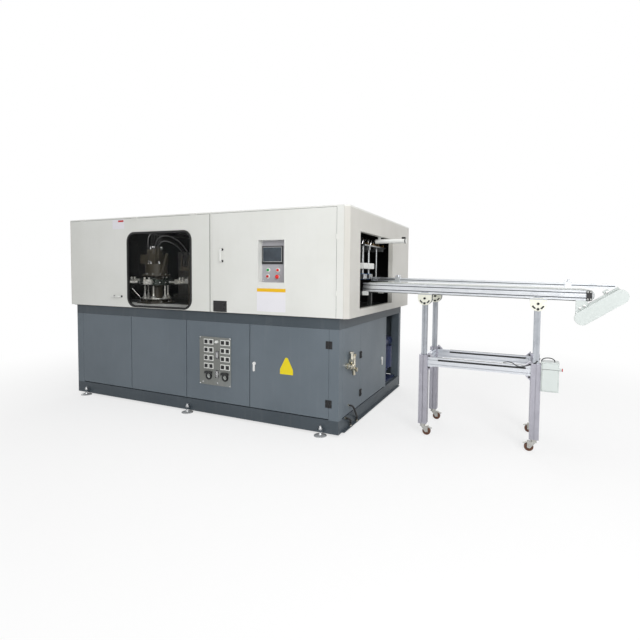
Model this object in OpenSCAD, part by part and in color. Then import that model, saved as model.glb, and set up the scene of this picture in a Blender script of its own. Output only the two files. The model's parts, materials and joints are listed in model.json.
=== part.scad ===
// Blow moulding machine with its outfeed conveyor.
// Lengths are in millimetres. X runs along the front from left to right, Y from the front to the back
// and Z upwards. Each piece is placed from the floor point below the front right corner of the casing,
// and in_frame() then moves that point so that the origin lies under the middle of the whole machine.

/* [Casing] */
// Length of the pale casing
casing_l = 3650; // [3300:10:4200]
// Depth of the pale casing
casing_d = 2173; // [2120:1:2400]
// Height of the roof above the floor
machine_h = 2100; // [2060:5:2300]
// Height of the casing's lower edge above the floor
casing_z = 1090; // [1080:1:1100]
// Bevel on the casing's upright corners
corner = 40; // [20:5:60]
// Thickness of the roof and end sheets
skin_t = 5; // [3:0.5:6]
// Thickness of the door and panel sheets
sheet_t = 3; // [2:0.5:4]
// Fold depth of the doors and panels
fold_d = 25; // [18:1:30]
// Gap round doors and panels
gap = 3; // [2:0.5:5]
// Width of the control door
control_w = 1369; // [1200:1:1500]
// Width of the dark joint between hatch and control door
joint_w = 32; // [20:1:50]
// Width of the hinge stile beside the control door
stile_w = 66; // [50:1:90]
// Width of the casing frame's tubes
tube_w = 50; // [40:1:60]
// Depth of the casing frame's tubes
tube_d = 40; // [30:1:50]
// Height of the frame's lintel
lintel_h = 55; // [40:1:60]

/* [Window] */
// Width of the hatch window
window_w = 910; // [600:10:1100]
// Height of the hatch window
window_h = 819; // [500:1:830]
// Corner radius of the hatch window
window_r = 100; // [40:5:140]
// Distance of the window from the hatch's right edge
window_right = 240; // [150:5:400]
// Height of the window above the hatch's lower edge
window_up = 13; // [12:1:60]
// Thickness of the window pane
pane_t = 5; // [3:0.5:6]

/* [Control panel] */
// Width of the control recess
recess_w = 294; // [270:1:320]
// Height of the control recess
recess_h = 408; // [390:1:440]
// Depth of the control recess
recess_d = 75; // [60:1:90]
// Width of the touch screen
screen_w = 219; // [180:1:230]
// Height of the touch screen
screen_h = 162; // [120:1:170]
// Diameter of a push button's cap
button_d = 26; // [18:1:30]
// Travel of a push button
button_travel = 5; // [3:0.5:6]

/* [Base] */
// Length of the base cabinet
base_l = 3470; // [3200:10:4000]
// Distance of the base behind the casing's front
base_set = 35; // [20:1:50]
// Distance of the base inside the casing's front corner at the open end
base_end = 50; // [30:1:80]
// Clearance below the plinth
plinth_z = 22; // [18:1:30]
// Height of the plinth
plinth_h = 126; // [110:1:140]
// Height of the base's top rail
rail_h = 100; // [80:1:120]
// Width of a corner post on the front
post_w = 100; // [80:1:120]
// Depth of a corner post along the end
post_d = 85; // [70:1:100]
// Width of the front cabinet door
front_door_w = 853; // [700:1:900]
// Width of the end cabinet door
end_door_w = 825; // [700:1:840]
// Distance of the end cabinet door from the base's front
end_door_set = 568; // [540:1:600]
// Diameter of a levelling foot
foot_d = 120; // [80:1:140]

/* [Turret] */
// Distance of the turret's axis behind the casing's front
turret_y = 540; // [530:1:640]
// Distance of the turret's axis from the hatch's right edge
turret_right = 1265; // [1000:5:1300]
// Reach of a gripper arm from the axis
arm_reach = 465; // [420:1:480]
// Number of gripper arms
arm_count = 6; // [4:1:8]
// Diameter of the turret plate
turret_d = 445; // [400:1:480]

/* [Conveyor] */
// Length of the conveyor's beams
conveyor_l = 1902; // [1800:1:2200]
// Width between the beams' centres
conveyor_w = 500; // [400:1:560]
// Distance of the front beam's centre behind the casing's front
conveyor_y = 480; // [440:1:520]
// Height of the beams' underside at their inner end
conveyor_z = 1327; // [1300:1:1360]
// Downward slope of the belt in degrees
slope = 0.93; // [0.5:0.05:1.2]
// Height of the aluminium beams
beam_h = 80; // [80:1:90]
// Width of the aluminium beams
beam_w = 40; // [40:1:45]
// Distance of the inner legs from the casing's front corner
leg_near = 620; // [600:1:700]
// Distance of the outer legs from the casing's front corner
leg_far = 1560; // [1400:1:1600]
// Width of the outer leg tubes
sleeve_w = 76; // [70:1:80]
// Width of the inner leg tubes
leg_w = 45; // [40:1:50]
// Height of the casters
caster_h = 110; // [100:1:130]
// Diameter of the caster wheels
wheel_d = 75; // [60:1:80]

/* [Hidden] */
$fn = 48;

seat = 0.3;                                   // clearance between neighbours that do not touch
casing_right = corner;
casing_left = corner - casing_l;
lip_h = 14;                                   // height of the roof's folded edge
roof_z = machine_h - skin_t;                  // underside of the roof sheet
shell_top = machine_h - lip_h;                // upper edge of the end panels
door_z0 = casing_z + 2;
door_z1 = shell_top - gap;
stile_x1 = -skin_t;
stile_x0 = stile_x1 - stile_w;
control_x1 = stile_x0 - gap;
control_x0 = control_x1 - control_w;
hatch_x1 = control_x0 - joint_w;
hatch_x0 = casing_left + corner + skin_t + gap;
frame_y = 32;                                 // distance of the casing frame behind the front

base_x1 = -base_end;
base_x0 = base_x1 - base_l;
base_y0 = base_set;
base_y1 = casing_d - base_set;
plinth_top = plinth_z + plinth_h;
rail_top = casing_z - 5;
rail_z = rail_top - rail_h;
panel_z0 = plinth_top + 10;
panel_z1 = rail_z - 1;
table_t = 25;
table_top = rail_top + table_t;

front_door_x1 = base_x1 - post_w - gap;
front_door_x0 = front_door_x1 - front_door_w;
end_door_y0 = base_y0 + end_door_set;
end_door_y1 = end_door_y0 + end_door_w;
door_d = 24;                                  // fold depth of the cabinet doors
panel_gap = 9;                                // gap between fixed base panels
mullion_w = 56;
bay_y0 = end_door_y1 + gap + mullion_w;
front_left = base_x0 + post_w + gap;          // left edge of the fixed front panels
front_panel_w = (front_door_x0 - panel_gap - front_left - 2 * panel_gap) / 3;
back_panel_w = (base_l - 2 * (post_w + gap) - 2 * panel_gap) / 3;

// Block between two opposite corners
module block(a, b) {
    translate(a) cube(b - a);
}

// Upright rectangular tube between two opposite corners
module upright_tube(a, b, wall) {
    difference() {
        block(a, b);
        block([a[0] + wall, a[1] + wall, a[2] - 1], [b[0] - wall, b[1] - wall, b[2] + 1]);
    }
}

// Folded sheet panel: face at y = 0, folded edges reaching back
module pan(w, h, d, t) {
    difference() {
        cube([w, d, h]);
        translate([t, t, t]) cube([w - 2 * t, d, h - 2 * t]);
    }
}

// Panel placed in the front, right end, back or left end face
module front_pan(x0, x1, z0, z1, y, d, t) {
    translate([x0, y, z0]) pan(x1 - x0, z1 - z0, d, t);
}
module end_pan(y0, y1, z0, z1, x, d, t) {
    translate([x, y0, z0]) rotate([0, 0, 90]) pan(y1 - y0, z1 - z0, d, t);
}
module back_pan(x0, x1, z0, z1, y, d, t) {
    translate([x0, y, z0]) mirror([0, 1, 0]) pan(x1 - x0, z1 - z0, d, t);
}
module left_pan(y0, y1, z0, z1, x, d, t) {
    translate([x, y1, z0]) rotate([0, 0, -90]) pan(y1 - y0, z1 - z0, d, t);
}

// Channel section ring with its flanges turned inwards
module channel_ring(a, b, web, flange) {
    difference() {
        block(a, b);
        block([a[0] + flange, a[1] + flange, a[2] - 1], [b[0] - flange, b[1] - flange, b[2] + 1]);
        block([a[0] + web, a[1] + web, a[2] + web], [b[0] - web, b[1] - web, b[2] - web]);
    }
}

// Rectangle with round corners, centred
module round_rect(w, h, r) {
    square([w - 2 * r, h], center = true);
    square([w, h - 2 * r], center = true);
    for (x = [-1, 1], y = [-1, 1]) translate([x * (w / 2 - r), y * (h / 2 - r)]) circle(r);
}

// Slot with round ends from one point to another in the plane
module stadium(l, r) {
    translate([0, -r]) square([l, 2 * r]);
    circle(r);
    translate([l, 0]) circle(r);
}

// Upright sheet cut from a flat outline, facing the front
module front_sheet(t) {
    rotate([90, 0, 0]) translate([0, 0, -t]) linear_extrude(t) children();
}

// Rod between two points
module rod(a, b, r) {
    d = b - a;
    translate(a) rotate([0, acos(d[2] / norm(d)), atan2(d[1], d[0])]) cylinder(r = r, h = norm(d));
}

// Tube swept along smoothed points, as rings of equal sides
function blend_points(p, i, t) = let (
    a = p[max(i - 1, 0)], b = p[i], c = p[i + 1], e = p[min(i + 2, len(p) - 1)]
) 0.5 * (2 * b + (c - a) * t + (2 * a - 5 * b + 4 * c - e) * t * t + (3 * b - a - 3 * c + e) * t * t * t);
function smooth(p, steps) = concat(
    [for (i = [0 : len(p) - 2], s = [0 : steps - 1]) blend_points(p, i, s / steps)], [p[len(p) - 1]]
);
function unit(v) = v / norm(v);
function heading(q, i) = unit(q[min(i + 1, len(q) - 1)] - q[max(i - 1, 0)]);
function side_of(d, last) = unit(last - d * (last * d));
function frames(q, i, last) = i == len(q) ? [] : let (s = side_of(heading(q, i), last))
    concat([s], frames(q, i + 1, s));
module sweep(points, r, sides, steps) {
    q = smooth(points, steps);
    first = abs(heading(q, 0)[2]) < 0.9 ? [0, 0, 1] : [1, 0, 0];
    s = frames(q, 0, first);
    rings = [for (i = [0 : len(q) - 1], k = [0 : sides - 1])
        q[i] + r * (cos(360 * k / sides) * s[i] + sin(360 * k / sides) * cross(heading(q, i), s[i]))];
    walls = [for (i = [0 : len(q) - 2], k = [0 : sides - 1]) let (n = (k + 1) % sides)
        [i * sides + k, (i + 1) * sides + k, (i + 1) * sides + n, i * sides + n]];
    cap_a = [for (k = [0 : sides - 1]) k];
    cap_b = [for (k = [sides - 1 : -1 : 0]) (len(q) - 1) * sides + k];
    polyhedron(points = rings, faces = concat(walls, [cap_a, cap_b]));
}

// Aluminium profile section with a slot on each module of every side
slot_w = 8;
slot_neck = 4.5;
slot_head = 16;
slot_depth = 10;
slot_module = 40;                             // side of the square module that the slots are drawn for
module_bore = 3.4;
module slot_2d() {
    translate([-slot_w / 2, -1]) square([slot_w, slot_depth + 1]);
    translate([-slot_head / 2, slot_neck]) square([slot_head, slot_depth - slot_neck]);
}
module profile_2d(w, h) {
    nx = max(1, floor(w / slot_module));
    ny = max(1, floor(h / slot_module));
    k = min(1, w / slot_module, h / slot_module);
    difference() {
        square([w, h]);
        for (i = [0 : nx - 1]) {
            translate([w * (i + 0.5) / nx, 0]) scale(k) slot_2d();
            translate([w * (i + 0.5) / nx, h]) rotate(180) scale(k) slot_2d();
        }
        for (j = [0 : ny - 1]) {
            translate([0, h * (j + 0.5) / ny]) rotate(-90) scale(k) slot_2d();
            translate([w, h * (j + 0.5) / ny]) rotate(90) scale(k) slot_2d();
        }
        for (i = [0 : nx - 1], j = [0 : ny - 1])
            translate([w * (i + 0.5) / nx, h * (j + 0.5) / ny]) circle(module_bore);
    }
}
// Profile along X, Y or Z from a corner
module profile_x(at, l, w, h) {
    translate(at) rotate([90, 0, 90]) linear_extrude(l) profile_2d(w, h);
}
module profile_y(at, l, w, h) {
    translate(at + [0, l, 0]) rotate([90, 0, 0]) linear_extrude(l) profile_2d(w, h);
}
module profile_z(at, l, w, h) {
    translate(at) linear_extrude(l) profile_2d(w, h);
}

// Bow handle along X, standing out towards the front
module bow(l, h, r, bend) {
    for (m = [0, 1]) mirror([m, 0, 0]) {
        translate([l / 2, 0, 0]) rotate([90, 0, 0]) cylinder(r = r, h = h - r - bend);
        translate([l / 2 - bend, -(h - r - bend), 0]) rotate([0, 0, -90])
            rotate_extrude(angle = 90) translate([bend, 0]) circle(r);
        translate([0, -(h - r), 0]) rotate([0, 90, 0]) cylinder(r = r, h = l / 2 - bend);
        translate([l / 2, 0, 0]) rotate([90, 0, 0]) cylinder(r = 2 * r, h = 3);
    }
}

// Butterfly hinge. Its pin stands along Z in front of the faces: the fixed half lies on the +X side
// and the moving half on the -X side. off is the distance from the pin to the faces behind it.
pin_r = 3.5;
knuckle_r = 5.4;
leaf_t = 3;
module hinge_fixed(h, leaf_w, off) {
    cylinder(r = pin_r, h = h);
    for (z = [0, h * 2 / 3 + seat]) translate([0, 0, z]) {
        cylinder(r = knuckle_r, h = h / 3 - seat);
        block([0, off - leaf_t, 0], [knuckle_r + 2, off, h / 3 - seat]);
        block([0, 0, 0], [pin_r, off, h / 3 - seat]);
    }
    block([knuckle_r + seat, off - leaf_t, 0], [leaf_w, off, h]);
}
module hinge_moving(h, leaf_w, off) {
    difference() {
        union() {
            translate([0, 0, h / 3]) cylinder(r = knuckle_r, h = h / 3);
            block([-knuckle_r - 2, off - leaf_t, h / 3], [0, off, h * 2 / 3]);
            block([-pin_r, 0, h / 3], [0, off, h * 2 / 3]);
        }
        translate([0, 0, h / 3 - 1]) cylinder(r = pin_r + seat, h = h / 3 + 2);
    }
    block([-leaf_w, off - leaf_t, 0], [-knuckle_r - seat, off, h]);
}

// Base cabinet

foot_set = 25;                                // distance of the feet in front of the base
lug_t = 16;
lug_z = 44;
stud_r = 10;
foot_xs = [base_x1 - 170, (base_x0 + base_x1) / 2, base_x0 + 170];
foot_ys = [base_y0 - foot_set, base_y1 + foot_set];
nut_h = 14;
module levelling_foot() {
    hub_r = 14;
    rotate_extrude() polygon([
        [0, 0], [foot_d / 2, 0], [foot_d / 2, 6], [foot_d / 4, 16], [hub_r, 18], [hub_r, 26], [0, 26]
    ]);
    cylinder(r = stud_r, h = lug_z + lug_t + nut_h + 20);
    translate([0, 0, lug_z - nut_h]) cylinder(r = 17, h = nut_h, $fn = 6);
    translate([0, 0, lug_z + lug_t]) cylinder(r = 17, h = nut_h, $fn = 6);
}
module levelling_feet() in_frame() color("silver")
    for (x = foot_xs, y = foot_ys) translate([x, y, 0]) levelling_foot();

web_t = 8;
flange_w = 60;
ledge_d = 25;
module base_plinth() in_frame() color([0.34, 0.38, 0.41]) difference() {
    union() {
        channel_ring([base_x0, base_y0, plinth_z], [base_x1, base_y1, plinth_top], web_t, flange_w);
        block([base_x0 + 1, base_y0 + 1, plinth_top - web_t], [base_x1 - 1, base_y1 - 1, plinth_top]);
        block([base_x1 - 1, base_y0 + post_d, plinth_z], [base_x1 + ledge_d, base_y1 - post_d, plinth_z + web_t]);
        for (x = foot_xs) {
            block([x - 30, foot_ys[0] - 28, lug_z], [x + 30, base_y0 + 1, lug_z + lug_t]);
            block([x - 30, base_y1 - 1, lug_z], [x + 30, foot_ys[1] + 28, lug_z + lug_t]);
        }
    }
    for (x = foot_xs, y = foot_ys) translate([x, y, lug_z - 1]) cylinder(r = stud_r + 0.5, h = lug_t + 2);
}

post_t = 5;
inner_post = 60;                              // width of the posts behind the panels
module base_posts() in_frame() color([0.43, 0.47, 0.5]) {
    for (x = [base_x0, base_x1 - post_w], y = [base_y0, base_y1 - post_d])
        upright_tube([x, y, plinth_top], [x + post_w, y + post_d, rail_z], post_t);
    front_xs = [front_door_x0 - panel_gap / 2, front_left + front_panel_w + panel_gap / 2,
        front_left + 2 * front_panel_w + 1.5 * panel_gap];
    for (x = front_xs)
        upright_tube([x - inner_post / 2, base_y0 + fold_d, plinth_top],
            [x + inner_post / 2, base_y0 + fold_d + inner_post, rail_z], post_t);
    for (k = [1, 2]) {
        x = front_left + k * (back_panel_w + panel_gap) - panel_gap / 2;
        upright_tube([x - inner_post / 2, base_y1 - fold_d - inner_post, plinth_top],
            [x + inner_post / 2, base_y1 - fold_d, rail_z], post_t);
    }
    upright_tube([base_x0 + fold_d, (base_y0 + base_y1 - inner_post) / 2, plinth_top],
        [base_x0 + fold_d + inner_post, (base_y0 + base_y1 + inner_post) / 2, rail_z], post_t);
    upright_tube([base_x1 - fold_d - inner_post, end_door_y0 - gap - inner_post + 20, plinth_top],
        [base_x1 - fold_d, end_door_y0 - gap + 20, rail_z], post_t);
    upright_tube([base_x1 - inner_post, bay_y0 - mullion_w, plinth_top], [base_x1, bay_y0, rail_z], post_t);
}

module base_top_rail() in_frame() color([0.34, 0.38, 0.41])
    channel_ring([base_x0, base_y0, rail_z], [base_x1, base_y1, rail_top], web_t, flange_w);

end_panel_y1 = end_door_y0 - gap;
module base_panels() in_frame() color([0.43, 0.47, 0.5]) {
    for (k = [0 : 2]) {
        x = front_left + k * (front_panel_w + panel_gap);
        front_pan(x, x + front_panel_w, panel_z0, panel_z1, base_y0, fold_d, sheet_t);
    }
    end_pan(base_y0 + post_d + gap, end_panel_y1, panel_z0, panel_z1, base_x1, fold_d, sheet_t);
    for (k = [0 : 2]) {
        x = front_left + k * (back_panel_w + panel_gap);
        back_pan(x, x + back_panel_w, panel_z0, panel_z1, base_y1, fold_d, sheet_t);
    }
    left_y = [base_y0 + post_d + gap, base_y1 - post_d - gap];
    left_mid = (base_y0 + base_y1) / 2;
    left_pan(left_y[0], left_mid - panel_gap / 2, panel_z0, panel_z1, base_x0, fold_d, sheet_t);
    left_pan(left_mid + panel_gap / 2, left_y[1], panel_z0, panel_z1, base_x0, fold_d, sheet_t);
}

// Plate with the sockets for the heating circuits
socket_w = 394;
socket_h = 500;
socket_x0 = front_door_x0 - panel_gap - 221 - socket_w;
socket_z0 = 328;
socket_t = 8;
socket_mid = socket_w / 2 + 27;               // middle of the socket pattern from the plate's left edge
socket_hole = 38;
socket_dx = [-137, -73, 73, 134];
socket_rows = 4;
socket_pitch = 84;
socket_row_z = 198;                           // lowest row of square sockets above the plate's edge
round_dx = [-103, 103];
round_z = 93;
vent_z = [320, 121];
module vent_2d() {
    for (a = [-32, 32]) rotate(a) square([9, 100], center = true);
    square(26, center = true);
}
module socket_plate() in_frame() color([0.62, 0.64, 0.65])
    translate([socket_x0, base_y0 - socket_t, socket_z0]) difference() {
        union() {
            cube([socket_w, socket_t, socket_h]);
            for (dx = socket_dx, k = [0 : socket_rows - 1])
                translate([socket_mid + dx, 0, socket_row_z + k * socket_pitch])
                    cube([socket_hole + 18, 8, socket_hole + 18], center = true);
            for (dx = round_dx) translate([socket_mid + dx, 1, round_z]) rotate([90, 0, 0]) {
                cylinder(r = 40, h = 7);
                cylinder(r = 33, h = 16);
                translate([-42, 26, 0]) cube([84, 24, 26]);
            }
            translate([socket_mid + 4, 1, socket_h - 44]) rotate([90, 0, 0]) cylinder(r = 14, h = 24);
            translate([socket_mid - 20, 1, socket_h - 52]) rotate([90, 0, 0]) cylinder(r = 8, h = 8);
        }
        for (dx = socket_dx, k = [0 : socket_rows - 1])
            translate([socket_mid + dx, 0, socket_row_z + k * socket_pitch])
                cube([socket_hole, 40, socket_hole], center = true);
        for (z = vent_z) translate([socket_mid, -1, z]) front_sheet(socket_t + 2) vent_2d();
        for (dx = round_dx) translate([socket_mid + dx, socket_t - 3, round_z]) rotate([90, 0, 0])
            cylinder(r = 24, h = 40);
    }

// Compressed-air and water fittings on the open end of the base
fitting_y = 300;
fitting_z = 630;
inlet_r = 16.6;
inlet_l = 60;
inlet_y = -100;
valve_x = 28;
boss_r = 11.5;
module pipe_fittings() in_frame() color("goldenrod") translate([base_x1, fitting_y, fitting_z]) {
    rod([0, inlet_y, 0], [22, inlet_y, 0], 26);
    rod([0, inlet_y, 0], [inlet_l, inlet_y, 0], inlet_r);
    rod([0, 40, -55], [48, 40, -55], 16);
    rod([valve_x, 40, -110], [valve_x, 40, 70], 16);
    rod([valve_x, 40, 70], [valve_x, 40, 96], 21);
    rod([0, 40, 35], [valve_x, 40, 35], 12);
    rod([valve_x, 40, 35], [valve_x, -25, 75], 12);
    rod([valve_x, -25, 60], [valve_x, -25, 110], 17);
    rod([valve_x, 40, -20], [valve_x, -40, -20], 13);
    translate([valve_x, -46, -20]) sphere(r = 20);
    block([valve_x - 18, -52, 0], [valve_x + 18, -40, 60]);
    rod([48, 40, -55], [62, 40, -55], 21);
    for (h = [drain_a, drain_b]) let (a = h[0], b = h[len(h) - 1]) translate([-base_x1, -fitting_y, -fitting_z]) {
        rod([base_x1, a[1], a[2]], a - [seat, 0, 0], boss_r);
        rod([b[0], b[1], plinth_z + web_t], b - [0, 0, seat], boss_r);
    }
}

// Hoses held at both ends: two drain hoses on the base and three air hoses above the turret
drain_r = 9;
function end_point(x, y, z) = [base_x1 + x, base_y0 + y, z];
drain_a = [end_point(12, 235, 240), end_point(20, 235, 240), end_point(28, 235, 240), end_point(44, 239, 233),
    end_point(54, 262, 200), end_point(48, 330, 130), end_point(22, 425, 78), end_point(12, 442, 62), end_point(12, 442, 52),
    end_point(12, 442, 42)];
drain_b = [end_point(12, 171, 132), end_point(19, 171, 132), end_point(26, 171, 132), end_point(38, 177, 127),
    end_point(43, 200, 108),
    end_point(24, 258, 80), end_point(12, 272, 62), end_point(12, 272, 52), end_point(12, 272, 42)];
air_r = 9;
module hoses() in_frame() color([0.08, 0.08, 0.09]) {
    sweep(drain_a, drain_r, 12, 4);
    sweep(drain_b, drain_r, 12, 4);
    translate([turret_x, turret_y, 0]) {
        for (h = air_hoses) sweep(h, air_r, 8, 4);
    }
}

module machine_table() in_frame() color([0.8, 0.81, 0.8]) {
    difference() {
        block([base_x0 + 20, frame_y + tube_d + seat, rail_top],
            [base_x1 - 20, casing_d - frame_y - tube_d - seat, table_top]);
        translate([turret_x, turret_y, 0]) for (a = [45 : 90 : 315]) rotate(a) translate([190, 0, rail_top - 1])
            cylinder(r = 9, h = table_t + 2);
    }
    for (y = [conveyor_y, conveyor_y + conveyor_w]) {
        block([base_x1 - 60, y - 20, table_top - 1], [base_x1 - 20, y + 20, carrier_top]);
        block([base_x1 - 60, y - 20, carrier_top - 40], [casing_right + 20, y + 20, carrier_top]);
    }
}
carrier_top = conveyor_z - (casing_right + 20) * sin(slope);

// Casing

sill_z = rail_top;
sill_h = 27;
lintel_z = roof_z - lintel_h;
left_x = casing_left + corner + skin_t;       // inner side of the left end panel's folded edge
back_frame_y = casing_d - frame_y - tube_d;
module frame_face(y, posts) {
    block([left_x, y, sill_z], [stile_x1, y + tube_d, sill_z + sill_h]);
    block([left_x, y, lintel_z], [stile_x1, y + tube_d, roof_z]);
    for (p = posts) upright_tube([p[0], y, sill_z + sill_h + seat], [p[1], y + tube_d, lintel_z - seat], post_t);
}
module casing_frame() in_frame() color([0.2, 0.21, 0.22]) {
    frame_face(frame_y, [
        [left_x, left_x + tube_w], [(control_x0 + hatch_x1) / 2 - 40, (control_x0 + hatch_x1) / 2 + 40]
    ]);
    frame_face(back_frame_y, [for (k = [0 : 3]) let (x = left_x + k * (stile_x1 - tube_w - left_x) / 3) [x, x + tube_w]]);
    upright_tube([stile_x0, frame_y, sill_z + sill_h + seat], [stile_x1, frame_y + tube_d, lintel_z - seat], post_t);
    for (x = [left_x, stile_x1 - tube_w])
        block([x, frame_y + tube_d + seat, lintel_z], [x + tube_w, back_frame_y - seat, roof_z]);
}

// Outline of the casing in plan with bevelled corners, grown or shrunk
module casing_plan(inset) {
    k = inset * tan(22.5);
    x0 = casing_left + inset;
    x1 = casing_right - inset;
    y0 = inset;
    y1 = casing_d - inset;
    c = corner - k;
    polygon([
        [x0 + c, y0], [x1 - c, y0], [x1, y0 + c], [x1, y1 - c], [x1 - c, y1], [x0 + c, y1], [x0, y1 - c], [x0, y0 + c]
    ]);
}

back_w = (casing_l - 2 * (corner + skin_t + gap) - 2 * gap) / 3;
module casing_panels() in_frame() color([0.87, 0.87, 0.86]) {
    difference() {
        translate([0, 0, shell_top]) linear_extrude(lip_h) casing_plan(0);
        translate([0, 0, shell_top - 1]) linear_extrude(lip_h + 1 - skin_t) casing_plan(skin_t);
    }
    for (x = strut_xs) {
        block([x + strut_r + 1, strut_a[0] - 22, strut_a[1] - 16], [x + strut_r + 9, strut_a[0] + 22, roof_z + 1]);
        translate([x - 4, strut_a[0], strut_a[1]]) rotate([0, 90, 0]) cylinder(r = strut_pin, h = strut_r + 6);
    }
    block([stile_x0, 0, door_z0], [stile_x1 - seat, frame_y - seat, shell_top - seat]);
    for (k = [0 : 2]) {
        x = casing_left + corner + skin_t + gap + k * (back_w + gap);
        back_pan(x, x + back_w, door_z0, door_z1, casing_d, frame_y - seat, sheet_t);
    }
}

return_d = 40;                                // depth of the end panels' folded edges
outfeed_y = [305, 1395];
outfeed_z = [1162, 1892];
jamb_d = 50;
infeed_y = [900, 1300];
infeed_z = [1500, 1850];
infeed_bolts = [460, 410];
module end_skin() {
    difference() {
        casing_plan(0);
        casing_plan(skin_t);
        translate([casing_left - 1, -1]) square([casing_l - corner - skin_t + 1, casing_d + 2]);
    }
    for (y = [0, casing_d - return_d]) translate([-skin_t, y]) square([skin_t, return_d]);
}
module end_panel(opening_y, opening_z) {
    difference() {
        union() {
            translate([0, 0, casing_z]) linear_extrude(shell_top - casing_z) end_skin();
            block([casing_right - jamb_d, opening_y[0] - skin_t, opening_z[0] - skin_t],
                [casing_right - 1, opening_y[1] + skin_t, opening_z[1] + skin_t]);
        }
        block([casing_right - jamb_d - 1, opening_y[0], opening_z[0]],
            [casing_right + 1, opening_y[1], opening_z[1]]);
    }
}
// Hood behind the infeed opening: a back plate, two cheeks and a top, open to the outside and below
hood_d = 230;
hood_edge = 55;                               // overlap of the hood round the opening
module infeed_hood() {
    y = infeed_y + hood_edge * [-1, 1];
    z = infeed_z + hood_edge * [-1, 1];
    x = [casing_left + 1, casing_left + hood_d];
    block([x[1] - sheet_t, y[0], z[0]], [x[1], y[1], z[1]]);
    for (side = [y[0], y[1] - sheet_t]) block([x[0], side, z[0]], [x[1], side + sheet_t, z[1]]);
    block([x[0], y[0], z[1] - sheet_t], [x[1], y[1], z[1]]);
}
module end_panels() in_frame() color([0.82, 0.81, 0.78]) {
    end_panel(outfeed_y, outfeed_z);
    difference() {
        translate([casing_left + casing_right, 0, 0]) mirror([1, 0, 0]) end_panel(infeed_y, infeed_z);
        for (y = [-1, 1], z = [-1, 1])
            translate([casing_left - 1, (infeed_y[0] + infeed_y[1]) / 2 + y * infeed_bolts[0] / 2,
                (infeed_z[0] + infeed_z[1]) / 2 + z * infeed_bolts[1] / 2])
                rotate([0, 90, 0]) cylinder(r = 5.5, h = skin_t + 2);
    }
    infeed_hood();
}

// Hatch

hatch_pivot = [-5.7, shell_top + 3];          // y and z of the hatch's hinge pins
hatch_off = -hatch_pivot[0];
hatch_hinge_l = 90;
hatch_hinge_xs = [for (s = [0.1, 0.5, 0.9]) hatch_x0 + s * (hatch_x1 - hatch_x0)];
window_x = hatch_x1 - window_right - window_w / 2;
window_z = door_z0 + window_up + window_h / 2;
handle_h = 45;
// Gas struts: y and z of the pivot below the roof and of the stud on the hatch
strut_a = [300, shell_top - 61];
strut_b = [42, shell_top - 137];
strut_xs = [hatch_x0 + 85, hatch_x1 - 60];
strut_pin = 5;
strut_r = 11;
strut_vec = [strut_b[0] - strut_a[0], strut_b[1] - strut_a[1]];
strut_len = norm(strut_vec);
strut_tilt = atan2(-strut_vec[0], strut_vec[1]);
module hatch_window_hole(grow) {
    translate([window_x, window_z]) round_rect(window_w + 2 * grow, window_h + 2 * grow, window_r + grow);
}
module hatch() in_frame() color([0.87, 0.87, 0.86]) {
    difference() {
        front_pan(hatch_x0, hatch_x1, door_z0, door_z1, 0, fold_d, sheet_t);
        translate([0, -1, 0]) front_sheet(sheet_t + 2) hatch_window_hole(0);
    }
    for (x = hatch_hinge_xs) translate([x + hatch_hinge_l / 2, hatch_pivot[0], hatch_pivot[1]])
        rotate([0, -90, 0]) hinge_moving(hatch_hinge_l, 30, hatch_off);
    for (x = strut_xs) {
        block([x + 10, sheet_t - 1, strut_b[1] - 12], [x + 15, strut_b[0] + 10, strut_b[1] + 12]);
        translate([x + 4 + seat, strut_b[0], strut_b[1]]) rotate([0, 90, 0]) cylinder(r = 5, h = 7);
    }
}

seal_lip = 8;
seal_in = 14;
pane_y = 8;
module ring_sheet(y0, y1, outer, inner) translate([0, y0, 0]) front_sheet(y1 - y0) difference() {
    hatch_window_hole(outer);
    hatch_window_hole(inner);
}
module window_seal() in_frame() color([0.06, 0.06, 0.07]) {
    ring_sheet(-5, 0, seal_lip, -seal_in);
    ring_sheet(-0.5, pane_y, 0, -seal_in);
    ring_sheet(pane_y - 0.5, pane_y + pane_t + 0.5, 0, -6);
    ring_sheet(pane_y + pane_t, pane_y + pane_t + 4, 0, -seal_in);
    ring_sheet(sheet_t, sheet_t + 4, seal_lip, -0.5);
}
module hatch_window() in_frame() color([0.75, 0.85, 0.88, 0.3])
    translate([0, pane_y, 0]) front_sheet(pane_t) hatch_window_hole(-6 - seat);

module hatch_handle() in_frame() color([0.1, 0.1, 0.1])
    translate([hatch_x1 - 1306, 0, door_z0 + 119]) bow(118, handle_h, 6, 12);

// Strut drawn along Z from its pivot, then leant to the stud on the hatch
module along_strut() {
    for (x = strut_xs) translate([x, strut_a[0], strut_a[1]]) rotate([strut_tilt, 0, 0]) children();
}
tube_bore = 8;
tube_l = 215;
module strut_tubes() in_frame() color([0.1, 0.1, 0.11]) along_strut() {
    difference() {
        union() {
            translate([0, 0, 14]) cylinder(r = strut_r, h = tube_l - 14);
            translate([-4, 0, 0]) rotate([0, 90, 0]) cylinder(r = 11, h = 8);
            block([-4, -8, 0], [4, 8, 15]);
        }
        translate([0, 0, 24]) cylinder(r = tube_bore, h = tube_l - 30);
        translate([0, 0, 24]) cylinder(r = 5 + seat, h = tube_l);
        translate([-5, 0, 0]) rotate([0, 90, 0]) cylinder(r = strut_pin + seat, h = 10);
    }
}
module strut_rods() in_frame() color("silver") along_strut() {
    translate([0, 0, 32]) cylinder(r = tube_bore - seat, h = 8);
    translate([0, 0, 32]) cylinder(r = 5, h = strut_len - 32 - 8);
    difference() {
        union() {
            translate([-4, 0, strut_len]) rotate([0, 90, 0]) cylinder(r = 10, h = 8);
            block([-4, -5, strut_len - 14], [4, 5, strut_len]);
        }
        translate([-5, 0, strut_len]) rotate([0, 90, 0]) cylinder(r = 5 + seat, h = 10);
    }
}

// Control door

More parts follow.
